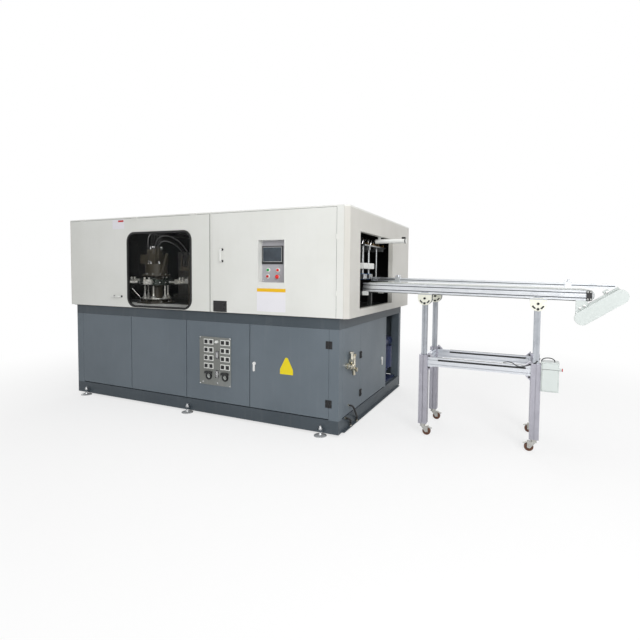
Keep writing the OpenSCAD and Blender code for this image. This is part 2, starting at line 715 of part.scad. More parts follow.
door_pivot = [(stile_x0 + control_x1) / 2, -6];
door_hinge_h = 45;
door_hinge_zs = [door_z0 + 202, door_z1 - 284];
recess_x1 = control_x1 - 528;
recess_x0 = recess_x1 - recess_w;
recess_z0 = door_z0 + 308;
module control_door() in_frame() color([0.87, 0.87, 0.86]) {
    difference() {
        front_pan(control_x0, control_x1, door_z0, door_z1, 0, fold_d, sheet_t);
        block([recess_x0, -1, recess_z0], [recess_x1, sheet_t + 1, recess_z0 + recess_h]);
    }
    for (z = door_hinge_zs) translate([door_pivot[0], door_pivot[1], z]) hinge_moving(door_hinge_h, 22, 6);
    block([control_x0 + 18, -4, door_z0 + 6], [control_x0 + 183, 1, door_z0 + 115]);
}
module door_handle() in_frame() color([0.1, 0.1, 0.1])
    translate([control_x0 + 128, 0, door_z0 + 573]) rotate([0, 90, 0]) bow(116, handle_h, 6, 12);

// Recessed tray with the control plate at its back
tray_t = 2;
screen_x = recess_x0 + 120;
bezel = 7;
screen_z = recess_z0 + 266;
buttons = [[recess_x0 + 73, recess_z0 + 122], [recess_x0 + 182, recess_z0 + 121], [recess_x0 + 68, recess_z0 + 60]];
stop_at = [recess_x0 + 182, recess_z0 + 58];
stem_r = 7;
module control_housing() in_frame() color([0.63, 0.63, 0.65]) difference() {
    union() {
        difference() {
            block([recess_x0 + seat, -2, recess_z0 + seat], [recess_x1 - seat, recess_d + tray_t, recess_z0 + recess_h - seat]);
            block([recess_x0 + seat + tray_t, -3, recess_z0 + seat + tray_t],
                [recess_x1 - seat - tray_t, recess_d, recess_z0 + recess_h - seat - tray_t]);
        }
        difference() {
            block([recess_x0 - 8, -2, recess_z0 - 8], [recess_x1 + 8, 0, recess_z0 + recess_h + 8]);
            block([recess_x0 + 2, -3, recess_z0 + 2], [recess_x1 - 2, 1, recess_z0 + recess_h - 2]);
        }
        for (b = buttons) translate([b[0], recess_d + 1, b[1]]) rotate([90, 0, 0]) cylinder(r = button_d / 2 + 4, h = 9);
        translate([stop_at[0], recess_d + 1, stop_at[1]]) rotate([90, 0, 0]) cylinder(r = 17, h = 7);
    }
    for (b = buttons) translate([b[0], recess_d + 1, b[1]]) rotate([90, 0, 0]) {
        translate([0, 0, 1]) cylinder(r = button_d / 2 + seat, h = 20);
        translate([0, 0, -10]) cylinder(r = stem_r + seat, h = 40);
    }
    translate([stop_at[0], recess_d + 20, stop_at[1]]) rotate([90, 0, 0]) cylinder(r = stem_r + seat, h = 60);
}
module touch_screen() in_frame() color([0.12, 0.13, 0.14]) difference() {
    block([screen_x - screen_w / 2 - bezel, recess_d - 7, screen_z - screen_h / 2 - bezel],
        [screen_x + screen_w / 2 + bezel, recess_d, screen_z + screen_h / 2 + bezel]);
    block([screen_x - screen_w / 2, recess_d - 8, screen_z - screen_h / 2],
        [screen_x + screen_w / 2, recess_d - 5, screen_z + screen_h / 2]);
}
// Push button: cap in its guard ring, stem through the plate and stop ring behind it
module push_button(at) translate([at[0], recess_d, at[1]]) rotate([90, 0, 0]) {
    translate([0, 0, button_travel + 1]) cylinder(r = button_d / 2, h = 9);
    translate([0, 0, -tray_t - 6]) cylinder(r = stem_r, h = button_travel + 10);
    translate([0, 0, -tray_t - 4 - seat]) cylinder(r = stem_r + 3, h = 4);
}
module start_button() in_frame() color("green") push_button(buttons[0]);
module stop_button() in_frame() color("red") push_button(buttons[1]);
module reset_button() in_frame() color("darkred") push_button(buttons[2]);
module emergency_stop() in_frame() color("red") translate([stop_at[0], recess_d, stop_at[1]]) rotate([90, 0, 0]) {
    translate([0, 0, -tray_t - 6]) cylinder(r = stem_r, h = 24);
    translate([0, 0, -tray_t - 4 - seat]) cylinder(r = stem_r + 3, h = 4);
    rotate_extrude() polygon([[0, 14], [13, 14], [20, 18], [20, 24], [14, 29], [0, 30]]);
}

// Cabinet doors

cabinet_pivot = [front_door_x1 + gap / 2, base_y0 - 6];
cabinet_hinge_h = 71;
cabinet_leaf = 32;
cabinet_hinge_zs = [263, 806];
end_pivot = [base_x1 + 6, end_door_y0 - gap / 2];
end_hinge_zs = [320, 708];                    // upper ends of the end door's hinges
latch_l = 97;
latch_w = 30;
latch_r = 8;
front_latch = [front_door_x0 + 50, 600];
end_latch = [end_door_y1 - 112, 515];
module base_front_door() in_frame() color([0.43, 0.47, 0.5]) {
    difference() {
        front_pan(front_door_x0, front_door_x1, panel_z0, panel_z1, base_y0, door_d, sheet_t);
        translate([front_latch[0], base_y0 - 1, front_latch[1]]) rotate([-90, 0, 0])
            cylinder(r = latch_r + seat, h = sheet_t + 2);
    }
    for (z = cabinet_hinge_zs) translate([cabinet_pivot[0], cabinet_pivot[1], z])
        hinge_moving(cabinet_hinge_h, cabinet_leaf, 6);
}
module base_end_door() in_frame() color([0.43, 0.47, 0.5]) {
    difference() {
        end_pan(end_door_y0, end_door_y1, panel_z0, panel_z1, base_x1, door_d, sheet_t);
        translate([base_x1 + 1, end_latch[0], end_latch[1]]) rotate([0, -90, 0])
            cylinder(r = latch_r + seat, h = sheet_t + 2);
    }
    for (z = end_hinge_zs) translate([end_pivot[0], end_pivot[1], z]) rotate([180, 0, -90])
        hinge_moving(cabinet_hinge_h, cabinet_leaf, 6);
}
// Quarter-turn latch seen from the front: lever hanging from its shaft, cam behind the sheet
module latch() {
    rotate([90, 0, 0]) {
        translate([0, 0, seat]) cylinder(r = latch_w / 2 + 2, h = 5);
        translate([0, 0, -sheet_t - 6]) cylinder(r = latch_r, h = sheet_t + 12);
        translate([0, 0, 5]) linear_extrude(9) {
            circle(latch_w / 2);
            translate([0, -(latch_l - latch_w)]) circle(latch_w / 2 - 5);
            translate([-latch_w / 2 + 5, -(latch_l - latch_w)]) square([latch_w - 10, latch_l - latch_w]);
        }
        translate([-12, -12, -sheet_t - 6]) cube([24, 36, 5]);
    }
}
module front_door_latch() in_frame() color("whitesmoke") translate([front_latch[0], base_y0, front_latch[1]]) latch();
module end_door_latch() in_frame() color("whitesmoke") translate([base_x1, end_latch[0], end_latch[1]])
    rotate([0, 0, 90]) latch();

module hinge_fixed_halves() in_frame() color([0.08, 0.08, 0.08]) {
    for (z = door_hinge_zs) translate([door_pivot[0], door_pivot[1], z]) hinge_fixed(door_hinge_h, 22, 6);
    for (z = cabinet_hinge_zs) translate([cabinet_pivot[0], cabinet_pivot[1], z])
        hinge_fixed(cabinet_hinge_h, cabinet_leaf, 6);
    for (z = end_hinge_zs) translate([end_pivot[0], end_pivot[1], z]) rotate([180, 0, -90])
        hinge_fixed(cabinet_hinge_h, cabinet_leaf, 6);
    for (x = hatch_hinge_xs) translate([x + hatch_hinge_l / 2, hatch_pivot[0], hatch_pivot[1]])
        rotate([0, -90, 0]) hinge_fixed(hatch_hinge_l, 11, hatch_off);
}

// Turret

turret_x = hatch_x1 - turret_right;
post_r = 70;
arm_z = table_top + 250;                      // underside of the arms
drum_z = arm_z - 24;                          // underside of the turret plate
column_z = arm_z + 82;
flange_r = 225;
low_z = table_top + 50;                       // underside of the turret's lower plate
// Hose routes from the connectors on the column, measured from the turret's axis
manifold = [500, -10, 1560];                  // middle of the air manifold's top
connector_top = column_z + 330;
air_hoses = [
    [[110, -70, connector_top + seat], [110, -70, 1786], [110, -70, 1800], [170, -70, 1858], [260, -50, 1855],
        [370, -20, 1795], [450, -10, 1690], [470, -10, 1610], [470, -10, 1585], [470, -10, manifold[2] + seat]],
    [[60, -70, connector_top + seat], [60, -70, 1790], [60, -70, 1808], [100, -60, 1900], [220, -30, 1930],
        [380, -10, 1860], [500, -10, 1740], [530, -10, 1630], [530, -10, 1595], [530, -10, manifold[2] + seat]],
    [[-60, -70, connector_top + seat], [-60, -70, 1790], [-60, -70, 1808], [-80, -40, 1920], [-40, 10, 2000],
        [0, 60, roof_z - 44], [0, 60, roof_z - 22], [0, 60, roof_z - seat]]
];
module turret_column() in_frame() color([0.24, 0.22, 0.18]) translate([turret_x, turret_y, 0]) {
    translate([0, 0, table_top]) cylinder(r = flange_r, h = 14);
    translate([0, 0, table_top]) cylinder(r = 110, h = low_z - table_top - 8);
    translate([0, 0, table_top]) cylinder(r = post_r, h = column_z - table_top + 1);
    translate([0, 0, column_z]) cylinder(r = 168, h = 20);
    translate([0, 0, column_z + 19]) cylinder(r = 130, h = 130);
    block([-150, -110, column_z + 148], [90, 110, column_z + 262]);
    translate([-20, 0, column_z + 261]) cylinder(r = 95, h = 60);
    translate([20, -10, column_z + 261]) cylinder(r = 48, h = 100);
    for (x = [-60, 0, 60, 110]) translate([x, -70, column_z + 255]) cylinder(r = 11, h = connector_top - column_z - 255);
    block([85, -85, column_z + 200], [125, -55, column_z + 262]);
    translate([130, -40, column_z + 40]) rotate([0, 20, 0]) cylinder(r = 16, h = 250);
    for (a = [0 : 60 : 300]) rotate(a + 30) translate([165, 0, table_top + 13]) cylinder(r = 24, h = 30);
    translate([manifold[0] + 57, manifold[1] - 30, table_top]) {
        cylinder(r = 12, h = manifold[2] - table_top + 130);
        cylinder(r = 40, h = 10);
    }
    block(manifold - [60, 50, 50], manifold + [75, 30, 0]);
    rod(manifold + [-54, -30, -1], manifold + [-54, -30, 130], 10);
}

// Gripper arm along X: bar, clamp block and two sprung fingers
module gripper() {
    block([turret_d / 2 - 60, -28, 0], [arm_reach - 100, 28, 22]);
    block([arm_reach - 130, -46, -14], [arm_reach - 84, 46, 44]);
    for (m = [0, 1]) mirror([0, m, 0]) {
        translate([arm_reach - 66, 24, -6]) cylinder(r = 17, h = 40);
        block([arm_reach - 100, 12, 2], [arm_reach - 60, 34, 22]);
        difference() {
            translate([arm_reach - 48, 0, 6]) linear_extrude(12) intersection() {
                difference() {
                    circle(46);
                    circle(34);
                }
                translate([-46, 6]) square([92, 60]);
            }
            translate([arm_reach - 1, -100, 0]) cube([100, 200, 40]);
        }
    }
}
module turret() in_frame() color([0.75, 0.75, 0.73]) translate([turret_x, turret_y, 0]) difference() {
    union() {
        translate([0, 0, drum_z]) cylinder(r = turret_d / 2, h = 24);
        translate([0, 0, drum_z + 23]) cylinder(r = 185, h = 40);
        translate([0, 0, low_z]) cylinder(r = 172, h = 12);
        for (a = [0 : arm_count - 1]) rotate(a * 360 / arm_count) {
            translate([0, 0, arm_z]) gripper();
            translate([0, 0, arm_z - 1]) block([150, -30, 0], [turret_d / 2 - 40, 30, 60]);
        }
        for (a = [0 : arm_count - 1]) rotate(a * 360 / arm_count) translate([138, 0, low_z + 11])
            bell_column();
    }
    translate([0, 0, low_z - 1]) cylinder(r = post_r + seat, h = 400);
}
module bell_column() rotate_extrude() polygon([
    [0, 0], [32, 0], [32, 10], [18, 30], [11, 55], [11, drum_z - low_z - 10], [0, drum_z - low_z - 10]
]);

// Blow clamp, moulds and stretch unit

clamp_x = [control_x0 + 343, control_x1 - 426];
clamp_y = [760, 1540];
clamp_z0 = table_top + 90;
clamp_z1 = 1900;
plate_t = 40;
bar_r = 20;
bar_xs = [clamp_x[0] + 50, clamp_x[1] - 50];
bar_zs = [clamp_z0 + 50, clamp_z1 - 250];
mould_y = (clamp_y[0] + clamp_y[1]) / 2;
mould_z = [clamp_z0 + 110, clamp_z0 + 450];
mould_t = 90;
platen_t = 50;
lift_r = 22;                                  // radius of the bottom mould's ram
mould_open = 60;                              // travel of each mould half
module clamp_frame() in_frame() color([0.5, 0.52, 0.53]) {
    for (y = [clamp_y[0], clamp_y[1] - plate_t])
        block([clamp_x[0], y, table_top], [clamp_x[1], y + plate_t, clamp_z1 - 180]);
    for (x = bar_xs, z = bar_zs) rod([x, clamp_y[0] + 1, z], [x, clamp_y[1] - 1, z], bar_r);
    for (x = bar_xs) rod([x, mould_y, clamp_z1 - 182], [x, mould_y, clamp_z1 + 100], 12);
    block([clamp_x[0], clamp_y[0], clamp_z1 - 181], [clamp_x[1], clamp_y[0] + 60, clamp_z1 - 150]);
    block([clamp_x[0], clamp_y[1] - 60, clamp_z1 - 181], [clamp_x[1], clamp_y[1], clamp_z1 - 150]);
    for (x = bar_xs) block([x - 30, clamp_y[0] + 59, clamp_z1 - 181], [x + 30, clamp_y[1] - 59, clamp_z1 - 150]);
    block([clamp_x[0], mould_y - 40, clamp_z1 + 99], [clamp_x[1], mould_y + 40, clamp_z1 + 119]);
    rod([clamp_mid, mould_y, clamp_z1 + 118], [clamp_mid, mould_y, roof_z - 5], 32);
    for (y = [clamp_y[0] - 90, clamp_y[1]]) rod([clamp_mid, y, 1450], [clamp_mid, y + 90, 1450], 70);
    difference() {
        rod([clamp_mid, mould_y, table_top], [clamp_mid, mould_y, table_top + 60], 36);
        rod([clamp_mid, mould_y, table_top - 1], [clamp_mid, mould_y, table_top + 61], lift_r + seat);
    }
    take_out();
}
// Take-out gantry over the belt: two arms, cross plate and two hanging grippers
gantry_z = clamp_z1 - 150;
gantry_x = -70;
gantry_ys = [900, 1380];
grip_ys = [790, 975];
module take_out() {
    for (y = gantry_ys) block([clamp_x[1] - 1, y - 20, gantry_z], [gantry_x, y + 20, gantry_z + 40]);
    block([clamp_x[1] - 60, gantry_ys[0] - 20, gantry_z - 1], [clamp_x[1], gantry_ys[1] + 20, gantry_z + 40]);
    block([gantry_x - 90, grip_ys[0] - 50, gantry_z + 39], [gantry_x, gantry_ys[1] + 110, gantry_z + 52]);
    for (y = grip_ys) {
        rod([gantry_x - 40, y, 1480], [gantry_x - 40, y, gantry_z + 40], 12);
        block([gantry_x - 90, y - 70, 1549], [gantry_x, y + 70, 1606]);
        block([gantry_x - 80, y - 55, 1440], [gantry_x - 10, y + 55, 1492]);
    }
    rod([gantry_x - 40, 1243, 1455], [gantry_x - 40, 1243, gantry_z + 40], 9);
}
clamp_mid = (clamp_x[0] + clamp_x[1]) / 2;
cavity_xs = [clamp_mid - 150, clamp_mid, clamp_mid + 150];
module bottle() rotate_extrude() polygon([
    [0, -1], [36, -1], [36, 8], [40, 12], [40, 190], [34, 225], [14, 275], [14, 400], [0, 400]
]);
// Platen with its mould half; side is 1 for the front half and -1 for the rear half
module platen(side) {
    face = mould_y - side * mould_open;
    back = face - side * mould_t;
    difference() {
        union() {
            block([clamp_x[0] + 130, min(face, back), mould_z[0]], [clamp_x[1] - 130, max(face, back), mould_z[1]]);
            block([clamp_x[0] + 4, min(back, back - side * platen_t), clamp_z0 + 4],
                [clamp_x[1] - 4, max(back, back - side * platen_t), clamp_z1 - 190]);
        }
        for (x = cavity_xs) translate([x, face, mould_z[0]]) bottle();
        for (x = bar_xs, z = bar_zs) rod([x, clamp_y[0], z], [x, clamp_y[1], z], bar_r + seat);
    }
}
module front_platen() in_frame() color([0.7, 0.72, 0.74]) platen(1);
module rear_platen() in_frame() color([0.7, 0.72, 0.74]) platen(-1);
module bottom_mould() in_frame() color([0.7, 0.72, 0.74]) {
    for (x = cavity_xs) translate([x, mould_y, mould_z[0] - 75]) cylinder(r = 35, h = 40);
    block([cavity_xs[0] - 50, mould_y - 40, mould_z[0] - 95], [cavity_xs[2] + 50, mould_y + 40, mould_z[0] - 74]);
    rod([clamp_mid, mould_y, table_top + seat], [clamp_mid, mould_y, mould_z[0] - 94], lift_r);
}
module stretch_carriage() in_frame() color("silver") difference() {
    union() {
        block([clamp_x[0] + 10, mould_y - 35, clamp_z1 + 40], [clamp_x[1] - 10, mould_y + 35, clamp_z1 + 70]);
        for (x = cavity_xs) rod([x, mould_y, mould_z[1] + 30], [x, mould_y, clamp_z1 + 41], 7);
    }
    for (x = bar_xs) rod([x, mould_y, clamp_z1], [x, mould_y, clamp_z1 + 100], 12 + seat);
}

// Preheating oven: base, lamp banks, reflectors and the loop of mandrels on its chain
oven_x = [casing_left + 310, control_x0 - 457];
oven_y = [1420, 2060];
lamp_count = 8;
mandrel_pitch = 55;
module oven() in_frame() color([0.6, 0.6, 0.58]) {
    block([oven_x[0], oven_y[0], table_top], [oven_x[1], oven_y[1], table_top + 60]);
    for (y = [oven_y[0] + 40, oven_y[1] - 60]) block([oven_x[0] + 60, y, table_top + 59], [oven_x[1] - 60, y + 20, 1760]);
    block([oven_x[0] + 60, oven_y[0] + 40, 1759], [oven_x[1] - 60, oven_y[1] - 40, 1790]);
    for (y = [oven_y[0] + 90, oven_y[1] - 110], k = [0 : lamp_count - 1])
        rod([oven_x[0] + 90, y, 1340 + k * 48], [oven_x[1] - 90, y, 1340 + k * 48], 6);
    for (x = [oven_x[0] + 80, oven_x[1] - 100], y = [oven_y[0] + 59, oven_y[1] - 119])
        block([x, y, 1300], [x + 20, y + 60, 1720]);
    row_l = oven_x[1] - oven_x[0] - 400;
    for (y = [oven_y[0] + 200, oven_y[1] - 200]) {
        block([oven_x[0] + 200, y - 20, table_top + 59], [oven_x[1] - 200, y + 20, table_top + 130]);
        for (k = [0 : floor(row_l / mandrel_pitch) - 1])
            translate([oven_x[0] + 230 + k * mandrel_pitch, y, table_top + 129]) cylinder(r = 11, h = 70);
    }
}

// Electrical back plate in the base with its drives and terminal rows
module electrical_plate() in_frame() color([0.7, 0.7, 0.68]) {
    plate_x = [front_door_x0 - 760, front_door_x1 - 60];
    plate_y = 640;
    block([plate_x[0], plate_y, plinth_top], [plate_x[1], plate_y + 4, rail_z - 40]);
    block([plate_x[0], plate_y, plinth_top], [plate_x[1], plate_y + 60, plinth_top + 4]);
    for (k = [0 : 5]) block([plate_x[0] + 60 + k * 150, plate_y - 150, 700], [plate_x[0] + 160 + k * 150, plate_y + 1, 900]);
    for (z = [420, 600]) block([plate_x[0] + 40, plate_y - 60, z], [plate_x[1] - 40, plate_y + 1, z + 40]);
    for (k = [0 : 8]) block([plate_x[0] + 60 + k * 120, plate_y - 90, 240], [plate_x[0] + 130 + k * 120, plate_y + 1, 360]);
}

// Air filter and tank in the open bay
unit_y = [bay_y0 + 70, base_y1 - 12];
unit_x = base_x1 - 150;
module filter_unit() in_frame() color([0.1, 0.13, 0.3]) {
    unit_mid = (unit_y[0] + unit_y[1]) / 2;
    rod([unit_x, unit_y[0], 620], [unit_x, unit_y[1] - 80, 620], 68);
    translate([unit_x, unit_mid + 70, 300]) cylinder(r = 100, h = 270);
    translate([unit_x, unit_mid + 70, 560]) cylinder(r = 60, h = 30);
    translate([unit_x, unit_mid + 70, 281]) cylinder(r = 70, h = 20);
    translate([unit_x, unit_mid + 70, 250]) cylinder(r = 45, h = 60);
    block([unit_x - 110, unit_y[0] - 20, plinth_top], [unit_x + 100, unit_y[1] - 80, plinth_top + 20]);
    for (y = [unit_mid - 30, unit_mid + 170]) block([unit_x - 110, y - 12, plinth_top + 19], [unit_x - 60, y + 12, 640]);
    rod([unit_x, unit_mid + 70, plinth_top + 19], [unit_x, unit_mid + 70, 260], 30);
    for (y = [unit_y[0] + 60, unit_y[0] + 170, unit_y[0] + 280]) rod([unit_x, y, 680], [unit_x, y, 716], 16);
}

// Conveyor

conveyor_x0 = 15;
inner_w = conveyor_w - beam_w;                // clear width between the beams
tail_x = 55;
drive_x = conveyor_l + 6;
pulley_r = 44;
pulley_z = 38;
belt_t = 3;
belt_w = inner_w - 40;
shaft_r = 10;
// Moves children from the beams' own line to their slope
module on_slope() {
    translate([conveyor_x0, conveyor_y, conveyor_z]) rotate([0, slope, 0]) children();
}
module conveyor_frame() in_frame() color([0.88, 0.89, 0.9]) on_slope() {
    for (y = [-beam_w / 2, conveyor_w - beam_w / 2]) profile_x([0, y, 0], conveyor_l, beam_w, beam_h);
    block([tail_x + 70, beam_w / 2 + 10, beam_h - 6], [drive_x - 70, conveyor_w - beam_w / 2 - 10, beam_h]);
    for (k = [0 : 3]) {
        x = tail_x + 75 + k * (conveyor_l - 310) / 3;
        profile_y([x, beam_w / 2 + seat, beam_h - 6 - seat - 40], inner_w - 2 * seat, 40, 40);
    }
    for (y = [beam_w / 2 + seat, conveyor_w - beam_w / 2 - 6 - seat]) {
        end_plate(drive_x, y, conveyor_l - 80, 56);
        end_plate(tail_x, y, tail_x - 46, 92);
    }
}
// Bearing plate inside a beam: x0 is its start and l its length
module end_plate(axis_x, y, x0, l) {
    reach = axis_x + 24 > x0 + l ? axis_x + 24 - x0 : l;
    difference() {
        block([x0, y, pulley_z - 30], [x0 + reach, y + 6, pulley_z + 30]);
        translate([axis_x, y - 1, pulley_z]) rotate([-90, 0, 0]) cylinder(r = shaft_r + seat, h = 8);
    }
}
module belt_2d(r) translate([tail_x, pulley_z]) stadium(drive_x - tail_x, r);
module conveyor_belt() in_frame() color([0.12, 0.12, 0.12]) on_slope()
    translate([0, (conveyor_w + belt_w) / 2, 0]) rotate([90, 0, 0]) linear_extrude(belt_w) difference() {
        belt_2d(pulley_r + seat + belt_t);
        belt_2d(pulley_r + seat);
    }
module pulley(x) in_frame() color([0.55, 0.56, 0.58]) on_slope() translate([x, conveyor_w / 2, pulley_z]) rotate([90, 0, 0]) {
    cylinder(r = pulley_r, h = belt_w - 4, center = true);
    cylinder(r = shaft_r, h = inner_w - 2, center = true);
}
module drive_pulley() pulley(drive_x);
module tail_pulley() pulley(tail_x);

rail_x = [-90, 2159];                         // ends of the guide rail along the slope
rail_lift = 12;
module guide_rail() in_frame() color([0.88, 0.89, 0.9]) on_slope() {
    profile_x([rail_x[0], conveyor_w - 20, beam_h + rail_lift], rail_x[1] - rail_x[0], 40, 40);
    for (x = [205, 1792]) {
        block([x - 28, conveyor_w - 20, beam_h], [x + 28, conveyor_w + 20, beam_h + rail_lift]);
        block([x - 28, conveyor_w - 26, beam_h - 30], [x + 28, conveyor_w - 20, beam_h + rail_lift + 50]);
        block([x - 28, conveyor_w - 26, beam_h + rail_lift + 40], [x + 28, conveyor_w + 26, beam_h + rail_lift + 50]);
        translate([x, conveyor_w, beam_h + rail_lift + 49]) cylinder(r = 12, h = 22);
        translate([x, conveyor_w, beam_h + rail_lift + 62]) rotate([0, 90, 0]) cylinder(r = 6, h = 52, center = true);
    }
}

leg_xs = [leg_near, leg_far];
leg_ys = [conveyor_y, conveyor_y + conveyor_w];
function beam_under(x) = conveyor_z - (x - conveyor_x0) * tan(slope);
sleeve_top = 755;
bracket_r = 62.5;
bracket_drop = 43;                            // height of the tilt pivot below the beam
bracket_t = 8;
bracket_bolt = 7;
arc_r = 45;                                   // radius and half width of the plates' curved slots
arc_w = 7;
arc_span = 36;
arc_end = 6;
module arc_slot_2d() {
    intersection() {
        difference() {
            circle(arc_r + arc_w);
            circle(arc_r - arc_w);
        }
        polygon([[0, 0], [2 * arc_r, 0], 2 * arc_r * [cos(arc_span), sin(arc_span)]]);
    }
    for (a = [0, arc_span]) rotate(a) translate([arc_r, 0]) circle(arc_end);
}
module tilt_plate_2d() difference() {
    union() {
        circle(bracket_r);
        translate([-bracket_r, 0]) square([2 * bracket_r, bracket_drop - 4]);
    }
    for (a = [205, 299]) rotate(a) arc_slot_2d();
}
module leg_tubes() in_frame() color([0.8, 0.81, 0.83]) for (x = leg_xs, y = leg_ys) {
    top = beam_under(x) - bracket_drop;
    profile_z([x - leg_w / 2, y - leg_w / 2, 420], top - 420 + 20, leg_w, leg_w);
    for (s = [-1, 1]) translate([x, y + s * (leg_w + bracket_t) / 2 + bracket_t / 2, top]) rotate([90, 0, 0])
        linear_extrude(bracket_t) tilt_plate_2d();
    for (z = [top, top - 45]) rod([x, y - 37, z], [x, y + 37, z], bracket_bolt);
    translate([x, y, top + bracket_drop]) rotate([0, slope, 0])
        block([-bracket_r - 3, -leg_w / 2 - bracket_t - 2, -9], [bracket_r + 3, leg_w / 2 + bracket_t + 2, 0]);
}

low_rail_z = 650;
gusset = 42;
module gusset_block(x, y, z, sx, sz) translate([x, y + 18, z]) rotate([90, 0, 0]) linear_extrude(36)
    polygon([for (p = [[0, 0], [gusset, 0], [gusset, 6], [6, gusset], [0, gusset]])
        [sx * (p[0] + seat), sz * (p[1] + seat)]]);
module stand_frame() in_frame() color([0.78, 0.8, 0.82]) {
    half = sleeve_w / 2;
    for (x = leg_xs, y = leg_ys) {
        translate([x, y, caster_h]) linear_extrude(sleeve_top - caster_h) difference() {
            square(sleeve_w, center = true);
            square(leg_w + 2 * seat, center = true);
            for (a = [0 : 90 : 270]) rotate(a) translate([0, -half]) slot_2d();
        }
        block([x - half, y - half, caster_h], [x + half, y + half, caster_h + 8]);
    }
    for (y = leg_ys) profile_x([leg_near + half + seat, y - 20, low_rail_z], leg_far - leg_near - sleeve_w - 2 * seat, 40, 80);
    for (x = leg_xs) profile_y([x - 20, conveyor_y + half + seat, low_rail_z], conveyor_w - sleeve_w - 2 * seat, 40, 80);
    for (y = leg_ys) {
        gusset_block(leg_near + half, y, low_rail_z + 80, 1, 1);
        gusset_block(leg_far - half, y, low_rail_z + 80, -1, 1);
        gusset_block(leg_near + half, y, low_rail_z, 1, -1);
        gusset_block(leg_far - half, y, low_rail_z, -1, -1);
    }
}

// Inclined guard and its hanger at the drive end
guard_a = [1880, 1155];
guard_b = [2134, 1335];
guard_r = 56;
guard_tip = guard_b[0] + guard_r;
guard_y = [conveyor_y - 46, conveyor_y - 21];
guard_angle = atan2(guard_b[1] - guard_a[1], guard_b[0] - guard_a[0]);
guard_l = norm(guard_b - guard_a);
hanger_top = beam_under(guard_a[0]);
module drive_guard() in_frame() color([0.88, 0.89, 0.9]) {
    translate([guard_a[0], guard_y[1], guard_a[1]]) rotate([90, -guard_angle, 0]) difference() {
        linear_extrude(guard_y[1] - guard_y[0]) stadium(guard_l, guard_r);
        translate([0, 0, -1]) linear_extrude(guard_y[1] - guard_y[0] - 2) stadium(guard_l, guard_r - 3);
    }
    block([guard_a[0] - 48, guard_y[1] - 1, guard_a[1] - 20], [guard_a[0] + 36, guard_y[1] + 7, hanger_top - 2]);
    translate([guard_a[0], 0, hanger_top]) rotate([0, slope, 0])
        block([-48, guard_y[1] - 1, -8], [36, conveyor_y + 20, -seat]);
    translate([guard_a[0], guard_y[1] + 7, guard_a[1]]) rotate([0, -guard_angle, 0]) {
        profile_x([10, 0, 40], guard_l + 20, 30, 30);
        for (x = [70, 255]) block([x - 20, -4, 66], [x + 20, 34, 96]);
        block([0, -7, 0], [guard_l, 0, 60]);
    }
}

motor_along = 60;                             // distance of the motor's axis along the guard
module gear_motor() in_frame() color([0.35, 0.4, 0.45])
    translate([guard_a[0] + motor_along * cos(guard_angle), guard_y[1] + 7, guard_a[1] + motor_along * sin(guard_angle)]) {
        rod([0, 0, 0], [0, 36, 0], 30);
        block([-45, 34, -45], [45, 124, 45]);
        rod([0, 123, 0], [0, 300, 0], 42);
        for (k = [0 : 5]) rod([0, 150 + k * 22, 0], [0, 158 + k * 22, 0], 48);
        rod([0, 299, 0], [0, 320, 0], 46);
    }

box_x = [leg_far + sleeve_w / 2, leg_far + sleeve_w / 2 + 133];
module control_box() in_frame() color([0.85, 0.86, 0.86]) {
    block([box_x[0], conveyor_y - 60, 535], [box_x[1], conveyor_y + 60, 780]);
    block([box_x[0] + 8, conveyor_y - 66, 545], [box_x[1] - 8, conveyor_y - 59, 770]);
    rod([box_x[1] - 1, conveyor_y, 715], [box_x[1] + 22, conveyor_y, 715], 10);
}

module light_bar() in_frame() color("white") {
    y = 1000;
    z = outfeed_z[1] - 48;
    rod([-50, y, z], [285, y, z], 23);
    rod([284, y, z], [296, y, z], 25);
    block([-8, y - 12, z + 18], [14, y + 12, outfeed_z[1]]);
    block([-8, y - 30, outfeed_z[1] - 4], [30, y + 30, outfeed_z[1]]);
}

// Casters: the wheel trails towards the middle of the stand
caster_at = [[leg_near, leg_ys[0], 1], [leg_near, leg_ys[1], 1], [leg_far, leg_ys[0], -1], [leg_far, leg_ys[1], -1]];
trail = 36;
axle_r = 5;
wheel_t = 26;
module caster_fork(c) in_frame() color([0.6, 0.56, 0.5]) translate([c[0], c[1], 0]) rotate([0, 0, c[2] > 0 ? 0 : 180]) {
    translate([0, 0, caster_h - 10 - seat]) cylinder(r = 30, h = 10);
    translate([0, 0, caster_h - 26]) cylinder(r = 24, h = 17);
    block([-24, -wheel_t / 2 - 6, caster_h - 30], [trail + 14, wheel_t / 2 + 6, caster_h - 24]);
    for (s = [-1, 1]) translate([0, s * (wheel_t / 2 + 4) + 2, 0]) rotate([90, 0, 0]) linear_extrude(4) polygon([
        [-20, caster_h - 25], [trail + 14, caster_h - 25], [trail + 13, wheel_d / 2 - 8], [trail - 10, wheel_d / 2 - 10]
    ]);
    translate([trail, 0, wheel_d / 2]) rotate([90, 0, 0]) cylinder(r = axle_r, h = wheel_t + 18, center = true);
    translate([trail + 6, 0, caster_h - 34]) rotate([0, 18, 0]) block([0, -14, 0], [44, 14, 5]);
}
module caster_wheel(c) in_frame() color([0.35, 0.22, 0.12]) translate([c[0] + c[2] * trail, c[1], wheel_d / 2])
    rotate([90, 0, 0]) difference() {
        translate([0, 0, -wheel_t / 2]) rotate_extrude() polygon([
            [0, 0], [12, 0], [12, 2], [26, 4], [26, 0], [wheel_d / 2 - 3, 0], [wheel_d / 2, 4], [wheel_d / 2, wheel_t - 4],
            [wheel_d / 2 - 3, wheel_t], [26, wheel_t], [26, wheel_t - 4], [12, wheel_t - 2], [12, wheel_t], [0, wheel_t]
        ]);
        cylinder(r = axle_r + seat, h = wheel_t + 2, center = true);
    }
module caster_fork_1() caster_fork(caster_at[0]);
module caster_fork_2() caster_fork(caster_at[1]);
